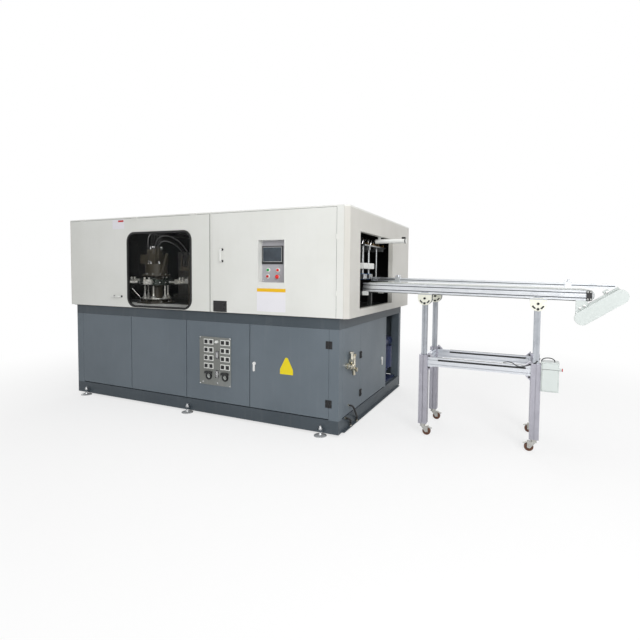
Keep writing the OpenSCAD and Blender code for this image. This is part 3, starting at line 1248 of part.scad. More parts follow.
module caster_fork_3() caster_fork(caster_at[2]);
module caster_fork_4() caster_fork(caster_at[3]);
module caster_wheel_1() caster_wheel(caster_at[0]);
module caster_wheel_2() caster_wheel(caster_at[1]);
module caster_wheel_3() caster_wheel(caster_at[2]);
module caster_wheel_4() caster_wheel(caster_at[3]);

// Moves the floor point below the casing's corner so that the origin lies under the middle
mid_x = (casing_left + guard_tip) / 2;
front_most = min(-handle_h, base_y0 - foot_set - foot_d / 2);
back_most = max(casing_d, base_y1 + foot_set + foot_d / 2);
mid_y = (front_most + back_most) / 2;
module in_frame() {
    translate([-mid_x, -mid_y, 0]) children();
}

levelling_feet();
base_plinth();
base_posts();
base_top_rail();
base_panels();
socket_plate();
pipe_fittings();
hoses();
machine_table();
casing_frame();
casing_panels();
end_panels();
hinge_fixed_halves();
turret_column();
clamp_frame();
oven();
electrical_plate();
filter_unit();
conveyor_frame();
conveyor_belt();
guide_rail();
leg_tubes();
stand_frame();
drive_guard();
gear_motor();
control_box();
light_bar();
hatch();
hatch_window();
window_seal();
hatch_handle();
strut_tubes();
strut_rods();
control_door();
door_handle();
control_housing();
touch_screen();
start_button();
stop_button();
reset_button();
emergency_stop();
base_front_door();
front_door_latch();
base_end_door();
end_door_latch();
turret();
front_platen();
rear_platen();
bottom_mould();
stretch_carriage();
drive_pulley();
tail_pulley();
caster_fork_1();
caster_fork_2();
caster_fork_3();
caster_fork_4();
caster_wheel_1();
caster_wheel_2();
caster_wheel_3();
caster_wheel_4();
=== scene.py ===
import json
import math

import bmesh
import bpy
from mathutils import Matrix, Vector


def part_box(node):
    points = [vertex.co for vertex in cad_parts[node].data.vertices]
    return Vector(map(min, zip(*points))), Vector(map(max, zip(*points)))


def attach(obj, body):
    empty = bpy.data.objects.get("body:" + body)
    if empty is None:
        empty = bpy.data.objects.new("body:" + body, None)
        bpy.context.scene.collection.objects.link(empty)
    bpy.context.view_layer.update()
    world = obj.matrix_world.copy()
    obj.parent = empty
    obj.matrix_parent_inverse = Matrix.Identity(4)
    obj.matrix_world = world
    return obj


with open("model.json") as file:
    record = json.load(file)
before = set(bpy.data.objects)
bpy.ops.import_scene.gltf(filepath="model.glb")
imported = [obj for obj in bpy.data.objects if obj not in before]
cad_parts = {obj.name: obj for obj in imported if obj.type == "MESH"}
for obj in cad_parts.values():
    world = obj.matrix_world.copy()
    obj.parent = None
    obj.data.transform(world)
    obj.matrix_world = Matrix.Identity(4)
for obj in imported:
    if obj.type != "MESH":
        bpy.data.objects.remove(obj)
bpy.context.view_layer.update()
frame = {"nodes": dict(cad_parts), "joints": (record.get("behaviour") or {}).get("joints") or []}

# Camera
# A camera at eye height stands in front of the conveyor end and looks back to the left along the machine.
# Places are in millimetres from the floor point below the casing's front right corner.
bevel_run = 0.040
casing_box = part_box("end_panels")
corner_point = Vector((casing_box[1].x - bevel_run, casing_box[0].y, 0))


def mm(x, y, z):
    """Place in the frame, in metres, of a point measured from the casing's corner."""
    return corner_point + Vector((x, y, z)) / 1000


focal_px = 445.0
picture_px = 640
centre_px = Vector((324.9, 296.0))
eye = mm(1480, -3640, 1492)
pan, dip, roll = (math.radians(a) for a in (24.54, 2.88, 0.56))
ahead = Vector((-math.sin(pan) * math.cos(dip), math.cos(pan) * math.cos(dip), -math.sin(dip)))
level = Vector((math.cos(pan), math.sin(pan), 0))
upright = level.cross(ahead)
right = math.cos(roll) * level + math.sin(roll) * upright
up = math.cos(roll) * upright - math.sin(roll) * level


def linked(name, data):
    """New object in the scene."""
    made = bpy.data.objects.new(name, data)
    bpy.context.scene.collection.objects.link(made)
    return made


lens = bpy.data.cameras.new("camera")
lens.sensor_width = 36
lens.lens = focal_px / picture_px * lens.sensor_width
lens.shift_x = 0.5 - centre_px.x / picture_px
lens.shift_y = centre_px.y / picture_px - 0.5
camera = linked("camera", lens)
camera.matrix_world = Matrix.Translation(eye) @ Matrix((right, up, -ahead)).transposed().to_4x4()
bpy.context.scene.camera = camera
bpy.context.scene.view_settings.view_transform = "Standard"

# Studio
# Large soft boxes, a plain white surround and a pale floor, as for a catalogue picture.


def rgb(*parts):
    """Linear colour of a screen colour whose parts are written from 0 to 255."""
    return (*((c / 255 / 12.92) if c < 11 else ((c / 255 + 0.055) / 1.055) ** 2.4 for c in parts), 1)


def add(tree, kind, settings=None, **values):
    """Adds a node, sets its properties, and sets or links its sockets by name, or by number as s0, s1.
    A kind without its family's name is of the tree's own family, such as GeometryNode."""
    made = tree.nodes.new(kind if "Node" in kind else tree.bl_idname.removesuffix("Tree") + kind)
    for key, value in (settings or {}).items():
        setattr(made, key, value)
    for key, value in values.items():
        number = key[1:]
        socket = made.inputs[int(number)] if number.isdigit() else made.inputs[key.replace("_", " ")]
        if isinstance(value, bpy.types.NodeSocket):
            tree.links.new(value, socket)
        else:
            socket.default_value = value
    return made


def calc(operation, first, second):
    """Result of one operation on a socket and a number, or on two sockets, in the first one's tree."""
    return add(first.id_data, "Math", {"operation": operation}, s0=first, s1=second).outputs[0]


def place_calc(operation, first, second=(0, 0, 0)):
    """The same for places: the node's outputs, a place first and its Value last."""
    tree = (second if isinstance(first, tuple) else first).id_data
    return add(tree, "VectorMath", {"operation": operation}, s0=first, s1=second).outputs


def own_place(tree):
    return add(tree, "TexCoord").outputs["Object"]


def ramp(value, low, high, foot=0.0):
    """The value foot up to low, 1 from high, smooth between."""
    return add(value.id_data, "MapRange", {"interpolation_type": "SMOOTHSTEP"}, Value=value, From_Min=low,
               From_Max=high, To_Min=foot).outputs[0]


def softbox(name, place, target, size, power):
    lamp = bpy.data.lights.new(name, "AREA")
    lamp.shape = "RECTANGLE"
    lamp.size, lamp.size_y = size
    lamp.energy = power
    holder = linked(name, lamp)
    holder.location = place
    holder.rotation_euler = (Vector(target) - Vector(place)).to_track_quat("-Z", "Y").to_euler()


softbox("key light", (4.8, -6.6, 4.2), (-0.3, -1.0, 1.2), (4, 3), 390)
softbox("side light", (8.0, -1.5, 3.0), (0.8, 0, 1.4), (4, 3), 30)
softbox("top light", (0.5, 0.0, 7.0), (0.5, 0, 0), (8, 5), 110)
softbox("back light", (-3.0, 8.0, 4.0), (-0.5, 0, 1.0), (5, 3), 150)
softbox("machine room light", (-2.1, -0.75, 2.04), (-2.05, -0.6, 1.2), (0.9, 0.3), 4)

surround = bpy.data.worlds.new("surround")
surround.use_nodes = True
bpy.context.scene.world = surround
sky = surround.node_tree
path = add(sky, "LightPath").outputs
seen = calc("MAXIMUM", path["Is Camera Ray"], path["Is Glossy Ray"])
seen = calc("MAXIMUM", seen, path["Is Transmission Ray"])
room_light = 0.4
brightness = add(sky, "Mix", Factor=seen, A=room_light, B=1.0)
sky.links.new(brightness.outputs["Result"], sky.nodes["Background"].inputs["Strength"])
sky.nodes["Background"].inputs["Color"].default_value = (1, 1, 1, 1)


def link_mesh(name, maker):
    """New mesh object of what maker draws into a bmesh, given in metres in the frame."""
    shape = bmesh.new()
    maker(shape)
    mesh = bpy.data.meshes.new(name)
    shape.to_mesh(mesh)
    shape.free()
    return linked(name, mesh)


floor_reach, shadow_reach, white_reach, near_white = 30.0, 2.6, 6.0, 0.68


def floor_sheet(shape):
    corners = [shape.verts.new((x * floor_reach, y * floor_reach, -0.0005))
               for x, y in ((-1, -1), (1, -1), (1, 1), (-1, 1))]
    shape.faces.new(corners)


def plain(name, base=None):
    """New material, or a copy of one, with its nodes and its shader."""
    made = base.copy() if base else bpy.data.materials.new(name)
    made.name = name
    made.use_nodes = True
    return made, made.node_tree, made.node_tree.nodes["Principled BSDF"]


floor = link_mesh("studio_floor", floor_sheet)
# The floor keeps the machine's shadow and turns into the white surround further out
floor_paint, floor_nodes, floor_shader = plain("studio floor")
floor_shader.inputs["Base Color"].default_value = (0.93, 0.93, 0.93, 1)
floor_shader.inputs["Roughness"].default_value = 0.8
outness = place_calc("LENGTH", own_place(floor_nodes))["Value"]
faded = ramp(outness, shadow_reach, white_reach, near_white)
path = add(floor_nodes, "LightPath").outputs
seen = calc("MAXIMUM", path["Is Camera Ray"], path["Is Transmission Ray"])
share = calc("MULTIPLY", faded, seen)
white = add(floor_nodes, "Emission", Color=(1, 1, 1, 1), Strength=1.0)
blend = add(floor_nodes, "MixShader", s0=share, s1=floor_shader.outputs[0], s2=white.outputs[0])
floor_nodes.links.new(blend.outputs[0], floor_nodes.nodes["Material Output"].inputs["Surface"])
floor.data.materials.append(floor_paint)

# Base cabinet
# A welded channel plinth and top rail with tube posts between them, closed by folded sheet panels.
# All of it is powder coated: the panels in mid grey, the plinth and the rail a shade darker.


def group(name, *colours, outputs=("Colour", "Roughness", "Height"), **values):
    """Empty shader group. Its inputs are its place, its colours, and the numbers or tuples in values."""
    tree = bpy.data.node_groups.new(name, "ShaderNodeTree")
    kinds = {3: "Vector", 4: "Color"}
    inputs = {"Place": (0, 0, 0), **{colour: (1, 1, 1, 1) for colour in colours}, **values}
    for label, value in inputs.items():
        kind = kinds[len(value)] if isinstance(value, tuple) else "Float"
        socket = tree.interface.new_socket(label.replace("_", " "), in_out="INPUT",
                                           socket_type="NodeSocket" + kind)
        socket.default_value = value
    for label in outputs:
        kind = "Color" if label == "Colour" else "Float"
        tree.interface.new_socket(label, in_out="OUTPUT", socket_type="NodeSocket" + kind)
    return tree, tree.nodes.new("NodeGroupInput").outputs, tree.nodes.new("NodeGroupOutput").inputs


def hand_out(leave, *results):
    """Links a finish group's colour, roughness and height, or its one mask, to its outputs."""
    for socket, result in zip(leave, results):
        result.id_data.links.new(result, socket)


def scaled(value, factor, offset=0.0):
    """value times factor plus offset, as a socket."""
    return add(value.id_data, "Math", {"operation": "MULTIPLY_ADD"}, s0=value, s1=factor,
               s2=offset).outputs[0]


def mixed(factor, first, second):
    """Colour between first and second."""
    return add(factor.id_data, "Mix", {"data_type": "RGBA"}, s0=factor, s6=first, s7=second).outputs[2]


def noise(place, scale, detail=3.0):
    return add(place.id_data, "TexNoise", Vector=place, Scale=scale, Detail=detail,
               Roughness=0.55).outputs["Fac"]


# Edge band: where the rounded normal leaves the flat one the finish turns to the edge colour: worn paler
# edges on most paints, and painted shade on the guard paint, whose edge colour is dark.
edge_tree, entry, leave = group("worn and shaded edges", outputs=("Mask",), Width=0.003, Amount=0.6)
rounded = add(edge_tree, "Bevel", {"samples": 4}, Radius=entry["Width"])
flat = add(edge_tree, "NewGeometry")
alike = place_calc("DOT_PRODUCT", rounded.outputs[0], flat.outputs["Normal"])["Value"]
edge = ramp(scaled(alike, -1.0, 1.0), 0.02, 0.22)
patches = ramp(noise(entry["Place"], 9.0), 0.35, 0.62)
edge_mask = calc("MULTIPLY", edge, patches)
edge_mask = calc("MULTIPLY", edge_mask, entry["Amount"])
hand_out(leave, edge_mask)

# Workshop dust: faint streaks down the walls and a film on what faces up
dust_tree, entry, leave = group("workshop dust", outputs=("Mask",), Amount=0.1)
streak_place = place_calc("MULTIPLY", entry["Place"], (7.0, 7.0, 0.8))[0]
streaks = ramp(noise(streak_place, 3.0), 0.5, 0.8)
facing = add(dust_tree, "SeparateXYZ", Vector=add(dust_tree, "NewGeometry").outputs["Normal"])
film = ramp(facing.outputs["Z"], 0.5, 0.95)
film = calc("MULTIPLY", film, noise(entry["Place"], 14.0))
dirt = calc("MAXIMUM", streaks, film)
dirt = calc("MULTIPLY", dirt, entry["Amount"])
hand_out(leave, dirt)


def inner_group(tree, inside, **values):
    return add(tree, "Group", {"node_tree": inside}, **values).outputs


# Powder coat: orange peel, slow changes of shade, paler edges and a little dust. A dark edge colour gives
# painted shade along the edges instead.
coat_tree, entry, leave = group("powder coat", "Paint", "Shade", "Edge", Dust=(0.55, 0.53, 0.5, 1),
                                Dustiness=0.08, Gloss=0.42, Edge_width=0.003, Edge_amount=0.6)
clouds = noise(entry["Place"], 1.6, 4.0)
tone = mixed(ramp(clouds, 0.3, 0.7), entry["Paint"], entry["Shade"])
edge_band = inner_group(coat_tree, edge_tree, Place=entry["Place"], Width=entry["Edge width"],
                     Amount=entry["Edge amount"])["Mask"]
tone = mixed(edge_band, tone, entry["Edge"])
dusty = inner_group(coat_tree, dust_tree, Place=entry["Place"], Amount=entry["Dustiness"])["Mask"]
tone = mixed(dusty, tone, entry["Dust"])
peel = noise(entry["Place"], 420.0, 1.0)
sheen = calc("ADD", entry["Gloss"], scaled(clouds, 0.16, -0.08))
sheen = calc("ADD", sheen, scaled(dusty, 0.8))
hand_out(leave, tone, sheen, peel)


def finish(name, tree, relief=0.1, depth=0.0004, metallic=0.0, **values):
    """Material whose colour, roughness and relief come from one finish group."""
    made, nodes, shader = plain(name)
    shader.inputs["Metallic"].default_value = metallic
    outputs = inner_group(nodes, tree, Place=own_place(nodes), **values)
    bump = add(nodes, "Bump", Strength=relief, Distance=depth, Height=outputs["Height"])
    nodes.links.new(outputs["Colour"], shader.inputs["Base Color"])
    nodes.links.new(outputs["Roughness"], shader.inputs["Roughness"])
    nodes.links.new(bump.outputs[0], shader.inputs["Normal"])
    return made


def painted(name, paint, shade, edge, **values):
    return finish(name, coat_tree, Paint=rgb(*paint), Shade=rgb(*shade), Edge=rgb(*edge), **values)


def dress(material, *names):
    """Gives CAD nodes a material in place of their own."""
    for name in names:
        for slot in frame["nodes"][name].material_slots:
            slot.material = material


panel_paint = painted("cabinet paint", (100, 110, 118), (93, 103, 111), (138, 148, 156), Dustiness=0.02)
rail_paint = painted("plinth paint", (66, 75, 82), (59, 68, 75), (108, 118, 125), Dustiness=0.03)
dress(panel_paint, "base_posts", "base_panels")
dress(rail_paint, "base_plinth", "base_top_rail")

# Levelling feet
# Turned steel pads on threaded studs, locked by a nut above and below the plinth's lugs, all zinc plated.
metal_tree, entry, leave = group("worked metal", "Metal", "Stain", Along=(1, 1, 1), Grain=60.0, Gloss=0.3,
                                 Gloss_spread=0.15, Stains=0.3)
lines_place = place_calc("MULTIPLY", entry["Place"], entry["Along"])[0]
lines = noise(lines_place, entry["Grain"], 2.0)
blotch = ramp(noise(entry["Place"], 11.0, 4.0), 0.45, 0.75)
blotch = calc("MULTIPLY", blotch, entry["Stains"])
tone = mixed(blotch, entry["Metal"], entry["Stain"])
gleam = scaled(scaled(lines, 2.0, -1.0), entry["Gloss spread"], entry["Gloss"])
hand_out(leave, tone, gleam, lines)


def metal(name, colour, stain, along=(1, 1, 1), metallic=1.0, **values):
    return finish(name, metal_tree, metallic=metallic, Metal=rgb(*colour), Stain=rgb(*stain), Along=along,
                  **values)


zinc = metal("zinc plate", (230, 231, 232), (184, 182, 176), metallic=0.65, Grain=90.0, Gloss=0.24,
             Stains=0.3)
dress(zinc, "levelling_feet", "strut_rods")

# Fasteners
# Screws and nuts are turned heads. One head is repeated: each place holds a copy that stands along its
# own outward direction.


def growth(name, *inputs):
    """Empty geometry tree with named inputs, given as (name, kind) between its shape and its finish."""
    tree = bpy.data.node_groups.new(name, "GeometryNodeTree")
    for label, kind in (("Geometry", "Geometry"), *inputs, ("Finish", "Material")):
        tree.interface.new_socket(label, in_out="INPUT", socket_type="NodeSocket" + kind)
    tree.interface.new_socket("Geometry", in_out="OUTPUT", socket_type="NodeSocketGeometry")
    return tree, tree.nodes.new("NodeGroupInput").outputs


def stood_up(tree, entry, shape, size=(1, 1, 1)):
    """Copies of a shape on the tree's points, each along its own outward direction."""
    outward = add(tree, "InputNamedAttribute", {"data_type": "FLOAT_VECTOR"}, Name="outward")
    aim = add(tree, "FunctionNodeAlignRotationToVector", {"axis": "Z"}, Vector=outward.outputs[0])
    return add(tree, "InstanceOnPoints", Points=entry["Geometry"], Instance=shape, Rotation=aim.outputs[0],
               Scale=size).outputs[0]


def grown(tree, entry, shape):
    """Ends a tree with real geometry in its finish."""
    real = add(tree, "RealizeInstances", s0=shape)
    coloured = add(tree, "SetMaterial", Geometry=real.outputs[0], Material=entry["Finish"])
    tree.links.new(coloured.outputs[0], tree.nodes.new("NodeGroupOutput").inputs["Geometry"])


scatter_tree, entry = growth("set out heads", ("Head", "Object"), ("Size", "Float"), ("Seed", "Int"))
head_shape = add(scatter_tree, "ObjectInfo", Object=entry["Head"])
placed = stood_up(scatter_tree, entry, head_shape.outputs["Geometry"], entry["Size"])
turned = add(scatter_tree, "FunctionNodeRandomValue", {"data_type": "FLOAT"}, s2=0.0, s3=math.tau,
             Seed=entry["Seed"])
spin = add(scatter_tree, "ShaderNodeCombineXYZ", Z=turned.outputs[1])
spun = add(scatter_tree, "RotateInstances", Instances=placed, Rotation=spin.outputs[0])
grown(scatter_tree, entry, spun.outputs[0])


def settle(maker, tree, body, **values):
    """Runs a geometry tree on an object, keeps its result as a plain mesh and lets it ride on a body."""
    name = maker.name
    grower = maker.modifiers.new(name, "NODES")
    grower.node_group = tree
    sockets = {item.name: item.identifier for item in tree.interface.items_tree if item.in_out == "INPUT"}
    for key, value in values.items():
        grower[sockets[key.replace("_", " ")]] = value
    bpy.context.view_layer.update()
    shape = maker.evaluated_get(bpy.context.evaluated_depsgraph_get())
    mesh = bpy.data.meshes.new_from_object(shape)
    maker.modifiers.clear()
    maker.data = mesh
    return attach(maker, body)


def places(name, points):
    """Loose points in metres, each with the outward direction of what stands on it."""
    mesh = bpy.data.meshes.new(name)
    mesh.from_pydata([tuple(point) for point, _ in points], [], [])
    directions = mesh.attributes.new("outward", "FLOAT_VECTOR", "POINT")
    directions.data.foreach_set("vector", [c for _, way in points for c in way])
    return linked(name, mesh)


def set_out(name, head, points, material, body="machine", size=1.0, seed=3):
    """Copies of a head on points, as one piece that rides on a body."""
    heads = settle(places(name, points), scatter_tree, body, Head=head, Size=size, Seed=seed,
                   Finish=material)


def lathe(shape, outline, steps=24, axis="Z", at=(0, 0, 0)):
    """Turns an outline of (radius, height) pairs round an axis through at. A radius of 0 closes an end."""
    turn = {"X": Matrix.Rotation(math.pi / 2, 4, "Y"), "Y": Matrix.Rotation(-math.pi / 2, 4, "X"),
            "Z": Matrix.Identity(4)}[axis]
    place = Matrix.Translation(Vector(at)) @ turn
    rings = []
    for radius, height in outline:
        count = 1 if radius == 0 else steps
        rings.append([shape.verts.new(place @ Vector((radius * math.cos(math.tau * k / count),
                                                      radius * math.sin(math.tau * k / count), height)))
                      for k in range(count)])
    for low, high in zip(rings, rings[1:]):
        for k in range(steps):
            ring = [low[k % len(low)], low[(k + 1) % len(low)], high[(k + 1) % len(high)],
                    high[k % len(high)]]
            unique = list(dict.fromkeys(ring))
            if len(unique) > 2:
                shape.faces.new(unique)


def turned_head(name, *turnings):
    """Shape that only geometry trees use, made of outlines turned one on another."""
    def draw(shape):
        for turning in turnings:
            lathe(shape, *turning)
    made = link_mesh(name, draw)
    bpy.context.scene.collection.objects.unlink(made)
    return made


socket_screw = turned_head("socket_screw",
                           ([(0.005, 0), (0.005, 0.0046), (0.0044, 0.0052), (0.0026, 0.0052)], 12),
                           ([(0.0026, 0.0052), (0.0022, 0.0022), (0, 0.0022)], 6))
hex_screw = turned_head("hexagon_screw", ([(0.0068, 0), (0.0068, 0.0008)], 16),
                        ([(0.006, 0.0008), (0.006, 0.004), (0.0052, 0.0046), (0, 0.0046)], 6))
dome_screw = turned_head("dome_screw",
                         ([(0.0046, 0), (0.0042, 0.0012), (0.0028, 0.0022), (0.0009, 0.0026)], 14),
                         ([(0.0009, 0.0026), (0.0009, 0.0014), (0, 0.0014)], 4))
front_way, end_way, up_way = Vector((0, -1, 0)), Vector((1, 0, 0)), Vector((0, 0, 1))

# Socket plate
# A painted steel plate in the front of the base. It holds moulded outlets for the heating circuits, two
# round sockets, and vents closed by crossed slats.
plate_middle = -1406
socket_columns = [plate_middle + dx for dx in (-137, -73, 73, 134)]
socket_rows = [526 + 84 * k for k in range(4)]

moulded_tree, entry, leave = group("moulded surface", "Plastic", "Scuff", Grain=500.0, Gloss=0.45,
                                   Scuffs=0.2)
scuffs = ramp(noise(entry["Place"], 26.0, 5.0), 0.52, 0.78)
scuffs = calc("MULTIPLY", scuffs, entry["Scuffs"])
tone = mixed(scuffs, entry["Plastic"], entry["Scuff"])
sheen = calc("ADD", entry["Gloss"], scaled(scuffs, 0.5))
hand_out(leave, tone, sheen, noise(entry["Place"], entry["Grain"], 1.0))


def moulded(name, colour, scuff, **values):
    return finish(name, moulded_tree, relief=0.06, Plastic=rgb(*colour), Scuff=rgb(*scuff), **values)


black_plastic = moulded("black plastic", (24, 24, 26), (70, 70, 72), Gloss=0.4)


def masked(place, low, high):
    """1 inside a box of the frame, 0 outside."""
    above = place_calc("SUBTRACT", place, tuple(low))[0]
    below = place_calc("SUBTRACT", tuple(high), place)[0]
    nearest = place_calc("MINIMUM", above, below)[0]
    parts = add(nearest.id_data, "SeparateXYZ", Vector=nearest).outputs
    least = calc("MINIMUM", parts[0], parts[1])
    least = calc("MINIMUM", least, parts[2])
    return calc("GREATER_THAN", least, 0)


def repainted(base, name, *areas, lean=0.0):
    """Copy of a finish with other colours inside boxes of the frame, given as (low, high, colour).
    With a lean, the boxes' heights are measured from a line that falls by that much along X."""
    made, tree, shader = plain(name, base)
    place = own_place(tree)
    if lean:
        height = place_calc("DOT_PRODUCT", place, (lean, 0, 1))["Value"]
        across = add(tree, "SeparateXYZ", Vector=place).outputs
        place = add(tree, "CombineXYZ", X=across[0], Y=across[1], Z=height).outputs[0]
    for low, high, colour in areas:
        source = shader.inputs["Base Color"].links[0].from_socket
        inside = masked(place, low, high)
        tree.links.new(mixed(inside, source, rgb(*colour)), shader.inputs["Base Color"])
    return made


def fitted(name, maker, material, body="machine"):
    """Piece of one finish, drawn by maker, that rides on a body."""
    made = link_mesh(name, maker)
    made.data.materials.append(material)
    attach(made, body)


plate_paint = painted("socket plate paint", (128, 132, 132), (116, 118, 114), (176, 178, 176),
                      Dustiness=0.15)
outlet_field = (mm(-1600, 0, 490), mm(-1240, 26.8, 812), (226, 228, 224))
socket_field = (mm(-1600, 0, 376), mm(-1240, 26.8, 482), (34, 36, 36))
dress(repainted(plate_paint, "socket plate", outlet_field, socket_field), "socket_plate")
outlet_side = 0.0195
outlet_pin = 0.0022
outlet_face = 23.4


def box_into(shape, low, high, bevel=0.0):
    """Box between two corners, its edges bevelled."""
    low, high = Vector(low), Vector(high)
    made = bmesh.ops.create_cube(shape, size=1.0)
    for vert in made["verts"]:
        vert.co = Vector(low[i] if vert.co[i] < 0 else high[i] for i in range(3))
    if bevel:
        edges = list({edge for vert in made["verts"] for edge in vert.link_edges})
        bmesh.ops.bevel(shape, geom=edges, offset=bevel, segments=2, affect="EDGES", profile=0.6)


def outlets(shape):
    """A flat moulding with three pins in each outlet."""
    side = outlet_side
    for x in socket_columns:
        for z in socket_rows:
            centre = mm(x, outlet_face, z)
            box_into(shape, centre + Vector((-side, -0.004, -side)), centre + Vector((side, 0, side)),
                     0.001)
            for across, rise in ((-0.45, 0.3), (0.45, 0.3), (0, -0.4)):
                pin = centre + Vector((across * side, -0.0038, rise * side))
                box_into(shape, pin - Vector((outlet_pin, 0.0024, 0.004)),
                         pin + Vector((outlet_pin, 0, 0.004)), 0.0004)


fitted("heater_outlets", outlets, black_plastic)

round_sockets = [mm(plate_middle + dx, 31.8, 421) for dx in (-103, 103)]
grey_plastic = moulded("grey plastic", (186, 190, 186), (150, 152, 148), Gloss=0.4)
insert_outline = [(0, -0.0045), (0.0175, -0.0045), (0.0185, -0.0075), (0.0215, -0.0075), (0.0225, -0.006),
                  (0.0225, 0), (0, 0)]


def socket_insert(shape):
    """Round socket face with a raised rim."""
    for centre in round_sockets:
        lathe(shape, insert_outline, 28, "Y", centre)


fitted("round_socket_inserts", socket_insert, grey_plastic)
pin_holes = [(centre + Vector((0.009 * math.cos(a), -0.0046, 0.009 * math.sin(a))), front_way)
             for centre in round_sockets for a in (0.5, 2.6, 4.7)]
set_out("round_socket_pins", dome_screw, pin_holes, black_plastic, size=0.9)

vent_rows = (648, 449)
vent_half = Vector((0.02, 0.038))
slat_tilt = math.radians(45)


def vent_rims(shape):
    wide, tall = vent_half
    for row in vent_rows:
        centre = mm(plate_middle, 26.6, row)
        bars = [(-wide, -0.0006, -tall, wide, tall, 0.0002)]
        for side in (-1, 1):
            bars.append((side * wide - 0.002, -0.0025, -tall, side * wide + 0.002, tall, 0.0006))
            bars.append((-wide, -0.0025, side * tall - 0.002, wide, side * tall + 0.002, 0.0006))
        for left, front, low, right, high, bevel in bars:
            box_into(shape, centre + Vector((left, front, low)), centre + Vector((right, 0, high)), bevel)


def vent_slats(shape):
    """Two layers of slats over each vent, crossing at a right angle."""
    for row in vent_rows:
        for side in (-1, 1):
            for rise in range(-27, 28, 9):
                slat = bmesh.ops.create_cube(shape, size=1.0)["verts"]
                turn = Matrix.Rotation(side * slat_tilt, 4, "Y")
                middle = mm(plate_middle, 24.9 - 0.7 * side, row + rise)
                reach = min(0.026, (vent_half.y - abs(rise) / 1000) / math.sin(slat_tilt))
                bmesh.ops.transform(shape, verts=slat, matrix=Matrix.Translation(middle) @ turn
                                    @ Matrix.Diagonal((2 * reach, 0.001, 0.0022, 1)))


fitted("vent_rims", vent_rims, black_plastic)
fitted("vent_slats", vent_slats, zinc)

plate_screws = [(mm(x, 27, z), front_way) for x in (-1622, -1244) for z in (336, 820)]
plate_screws += [(mm(x, 27, 355), front_way) for x in (-1586, -1401)]
set_out("socket_plate_screws", dome_screw, plate_screws, zinc, size=1.4)

# Cabinet doors
# Folded sheet doors hung on black cast hinges, each held by a white quarter-turn lever latch.
# The front one carries a plain yellow plate.
cast_tree, entry, leave = group("cast surface", "Metal", "Worn", Gloss=0.5, Pitting=180.0, Wear=0.4)
pits = noise(entry["Place"], entry["Pitting"], 3.0)
edge_band = inner_group(cast_tree, edge_tree, Place=entry["Place"], Width=0.0015, Amount=entry["Wear"])["Mask"]
tone = mixed(edge_band, entry["Metal"], entry["Worn"])
tone = mixed(scaled(noise(entry["Place"], 6.0), 0.25), tone, entry["Worn"])
hand_out(leave, tone, scaled(pits, 0.2, 0.4), pits)


def cast(name, colour, worn, metallic=0.0, **values):
    return finish(name, cast_tree, relief=0.25, metallic=metallic, Metal=rgb(*colour), Worn=rgb(*worn),
                  **values)


hinge_black = cast("black hinge casting", (20, 20, 21), (74, 74, 76), Wear=0.15)
casing_hinges = (mm(-5000, -1000, 1088), mm(5000, 5000, 3000), (222, 222, 218))
hinge_finish = repainted(hinge_black, "hinges", casing_hinges)
dress(hinge_finish, "hinge_fixed_halves")
black = (20, 20, 21)
front_leaves = (mm(-190, 0, 200), mm(-140, 34.9, 900), black)
end_leaves = (mm(-49.9, 590, 200), mm(0, 640, 760), black)
dress(repainted(panel_paint, "cabinet doors", front_leaves, end_leaves), "base_front_door", "base_end_door")

leaf_reach = 0.021
leaves = {"base_front_door": (front_way, Vector((-leaf_reach, 0.0029, 0)),
                              [mm(-151.5, 29, z + dz) for z in (263, 806) for dz in (14, 57)]),
          "base_end_door": (end_way, Vector((-0.0031, leaf_reach, 0)),
                            [mm(-44, 601.5, z - dz) for z in (320, 708) for dz in (14, 57)])}
still_leaf, moving_leaf = [], {}
for door, (way, out, pins) in leaves.items():
    back = Vector((-out.x, out.y, 0)) if way == front_way else Vector((out.x, -out.y, 0))
    moving_leaf[door] = [(pin + out, way) for pin in pins]
    still_leaf += [(pin + back, way) for pin in pins]
set_out("hinge_screws", socket_screw, still_leaf, hinge_black, size=1.1)
for door, points in moving_leaf.items():
    set_out(door + "_hinge_screws", socket_screw, points, hinge_black, door, 1.1)

latch_white = moulded("white latch", (228, 228, 226), (196, 194, 188), Gloss=0.35)
dress(latch_white, "front_door_latch", "end_door_latch")
latch_screws = {"front_door_latch": (mm(-956, 21, 600), front_way),
                "end_door_latch": (mm(-36, 1316, 515), end_way)}
for latch, point in latch_screws.items():
    set_out(latch + "_screw", socket_screw, [point], zinc, latch, 1.1)

plate_yellow = moulded("yellow plate", (228, 206, 10), (204, 176, 20), Gloss=0.3)
plate_left, plate_right, plate_foot, plate_band, plate_top = -664, -522, 526, 572, 689


def yellow_sheet(shape):
    middle = (plate_left + plate_right) / 2
    outline = [(plate_left, plate_foot), (plate_right, plate_foot), (plate_right, plate_band),
               (middle + 14, plate_top - 6), (middle, plate_top), (middle - 14, plate_top - 6),
               (plate_left, plate_band)]
    front = [shape.verts.new(mm(x, 33.8, z)) for x, z in outline]
    face = shape.faces.new(front)
    back = bmesh.ops.extrude_face_region(shape, geom=[face])
    bmesh.ops.translate(shape, verts=[g for g in back["geom"] if isinstance(g, bmesh.types.BMVert)],
                        vec=(0, 0.0012, 0))
    bmesh.ops.recalc_face_normals(shape, faces=shape.faces)


fitted("yellow_plate", yellow_sheet, plate_yellow, "base_front_door")

# Pipe fittings and drain hoses
# Nickelled brass fittings for air and water, screwed into the open end, with black rubber hoses below them.
nickel = metal("nickelled brass", (214, 210, 196), (126, 112, 74), Grain=40.0, Gloss=0.22, Stains=0.7)
dress(nickel, "pipe_fittings")
hose_rubber = moulded("hose rubber", (22, 22, 23), (60, 58, 55), Gloss=0.55, Scuffs=0.4)
dress(hose_rubber, "hoses")
nut = turned_head("union_nut", ([(0, 0), (0.0185, 0), (0.0215, 0.003), (0.0215, 0.015), (0.0185, 0.018),
                                 (0, 0.018)], 6))
nut_points = [(mm(-28.5, 200, 630), end_way), (mm(-22, 275, 739), up_way)]
set_out("union_nuts", nut, nut_points, nickel)

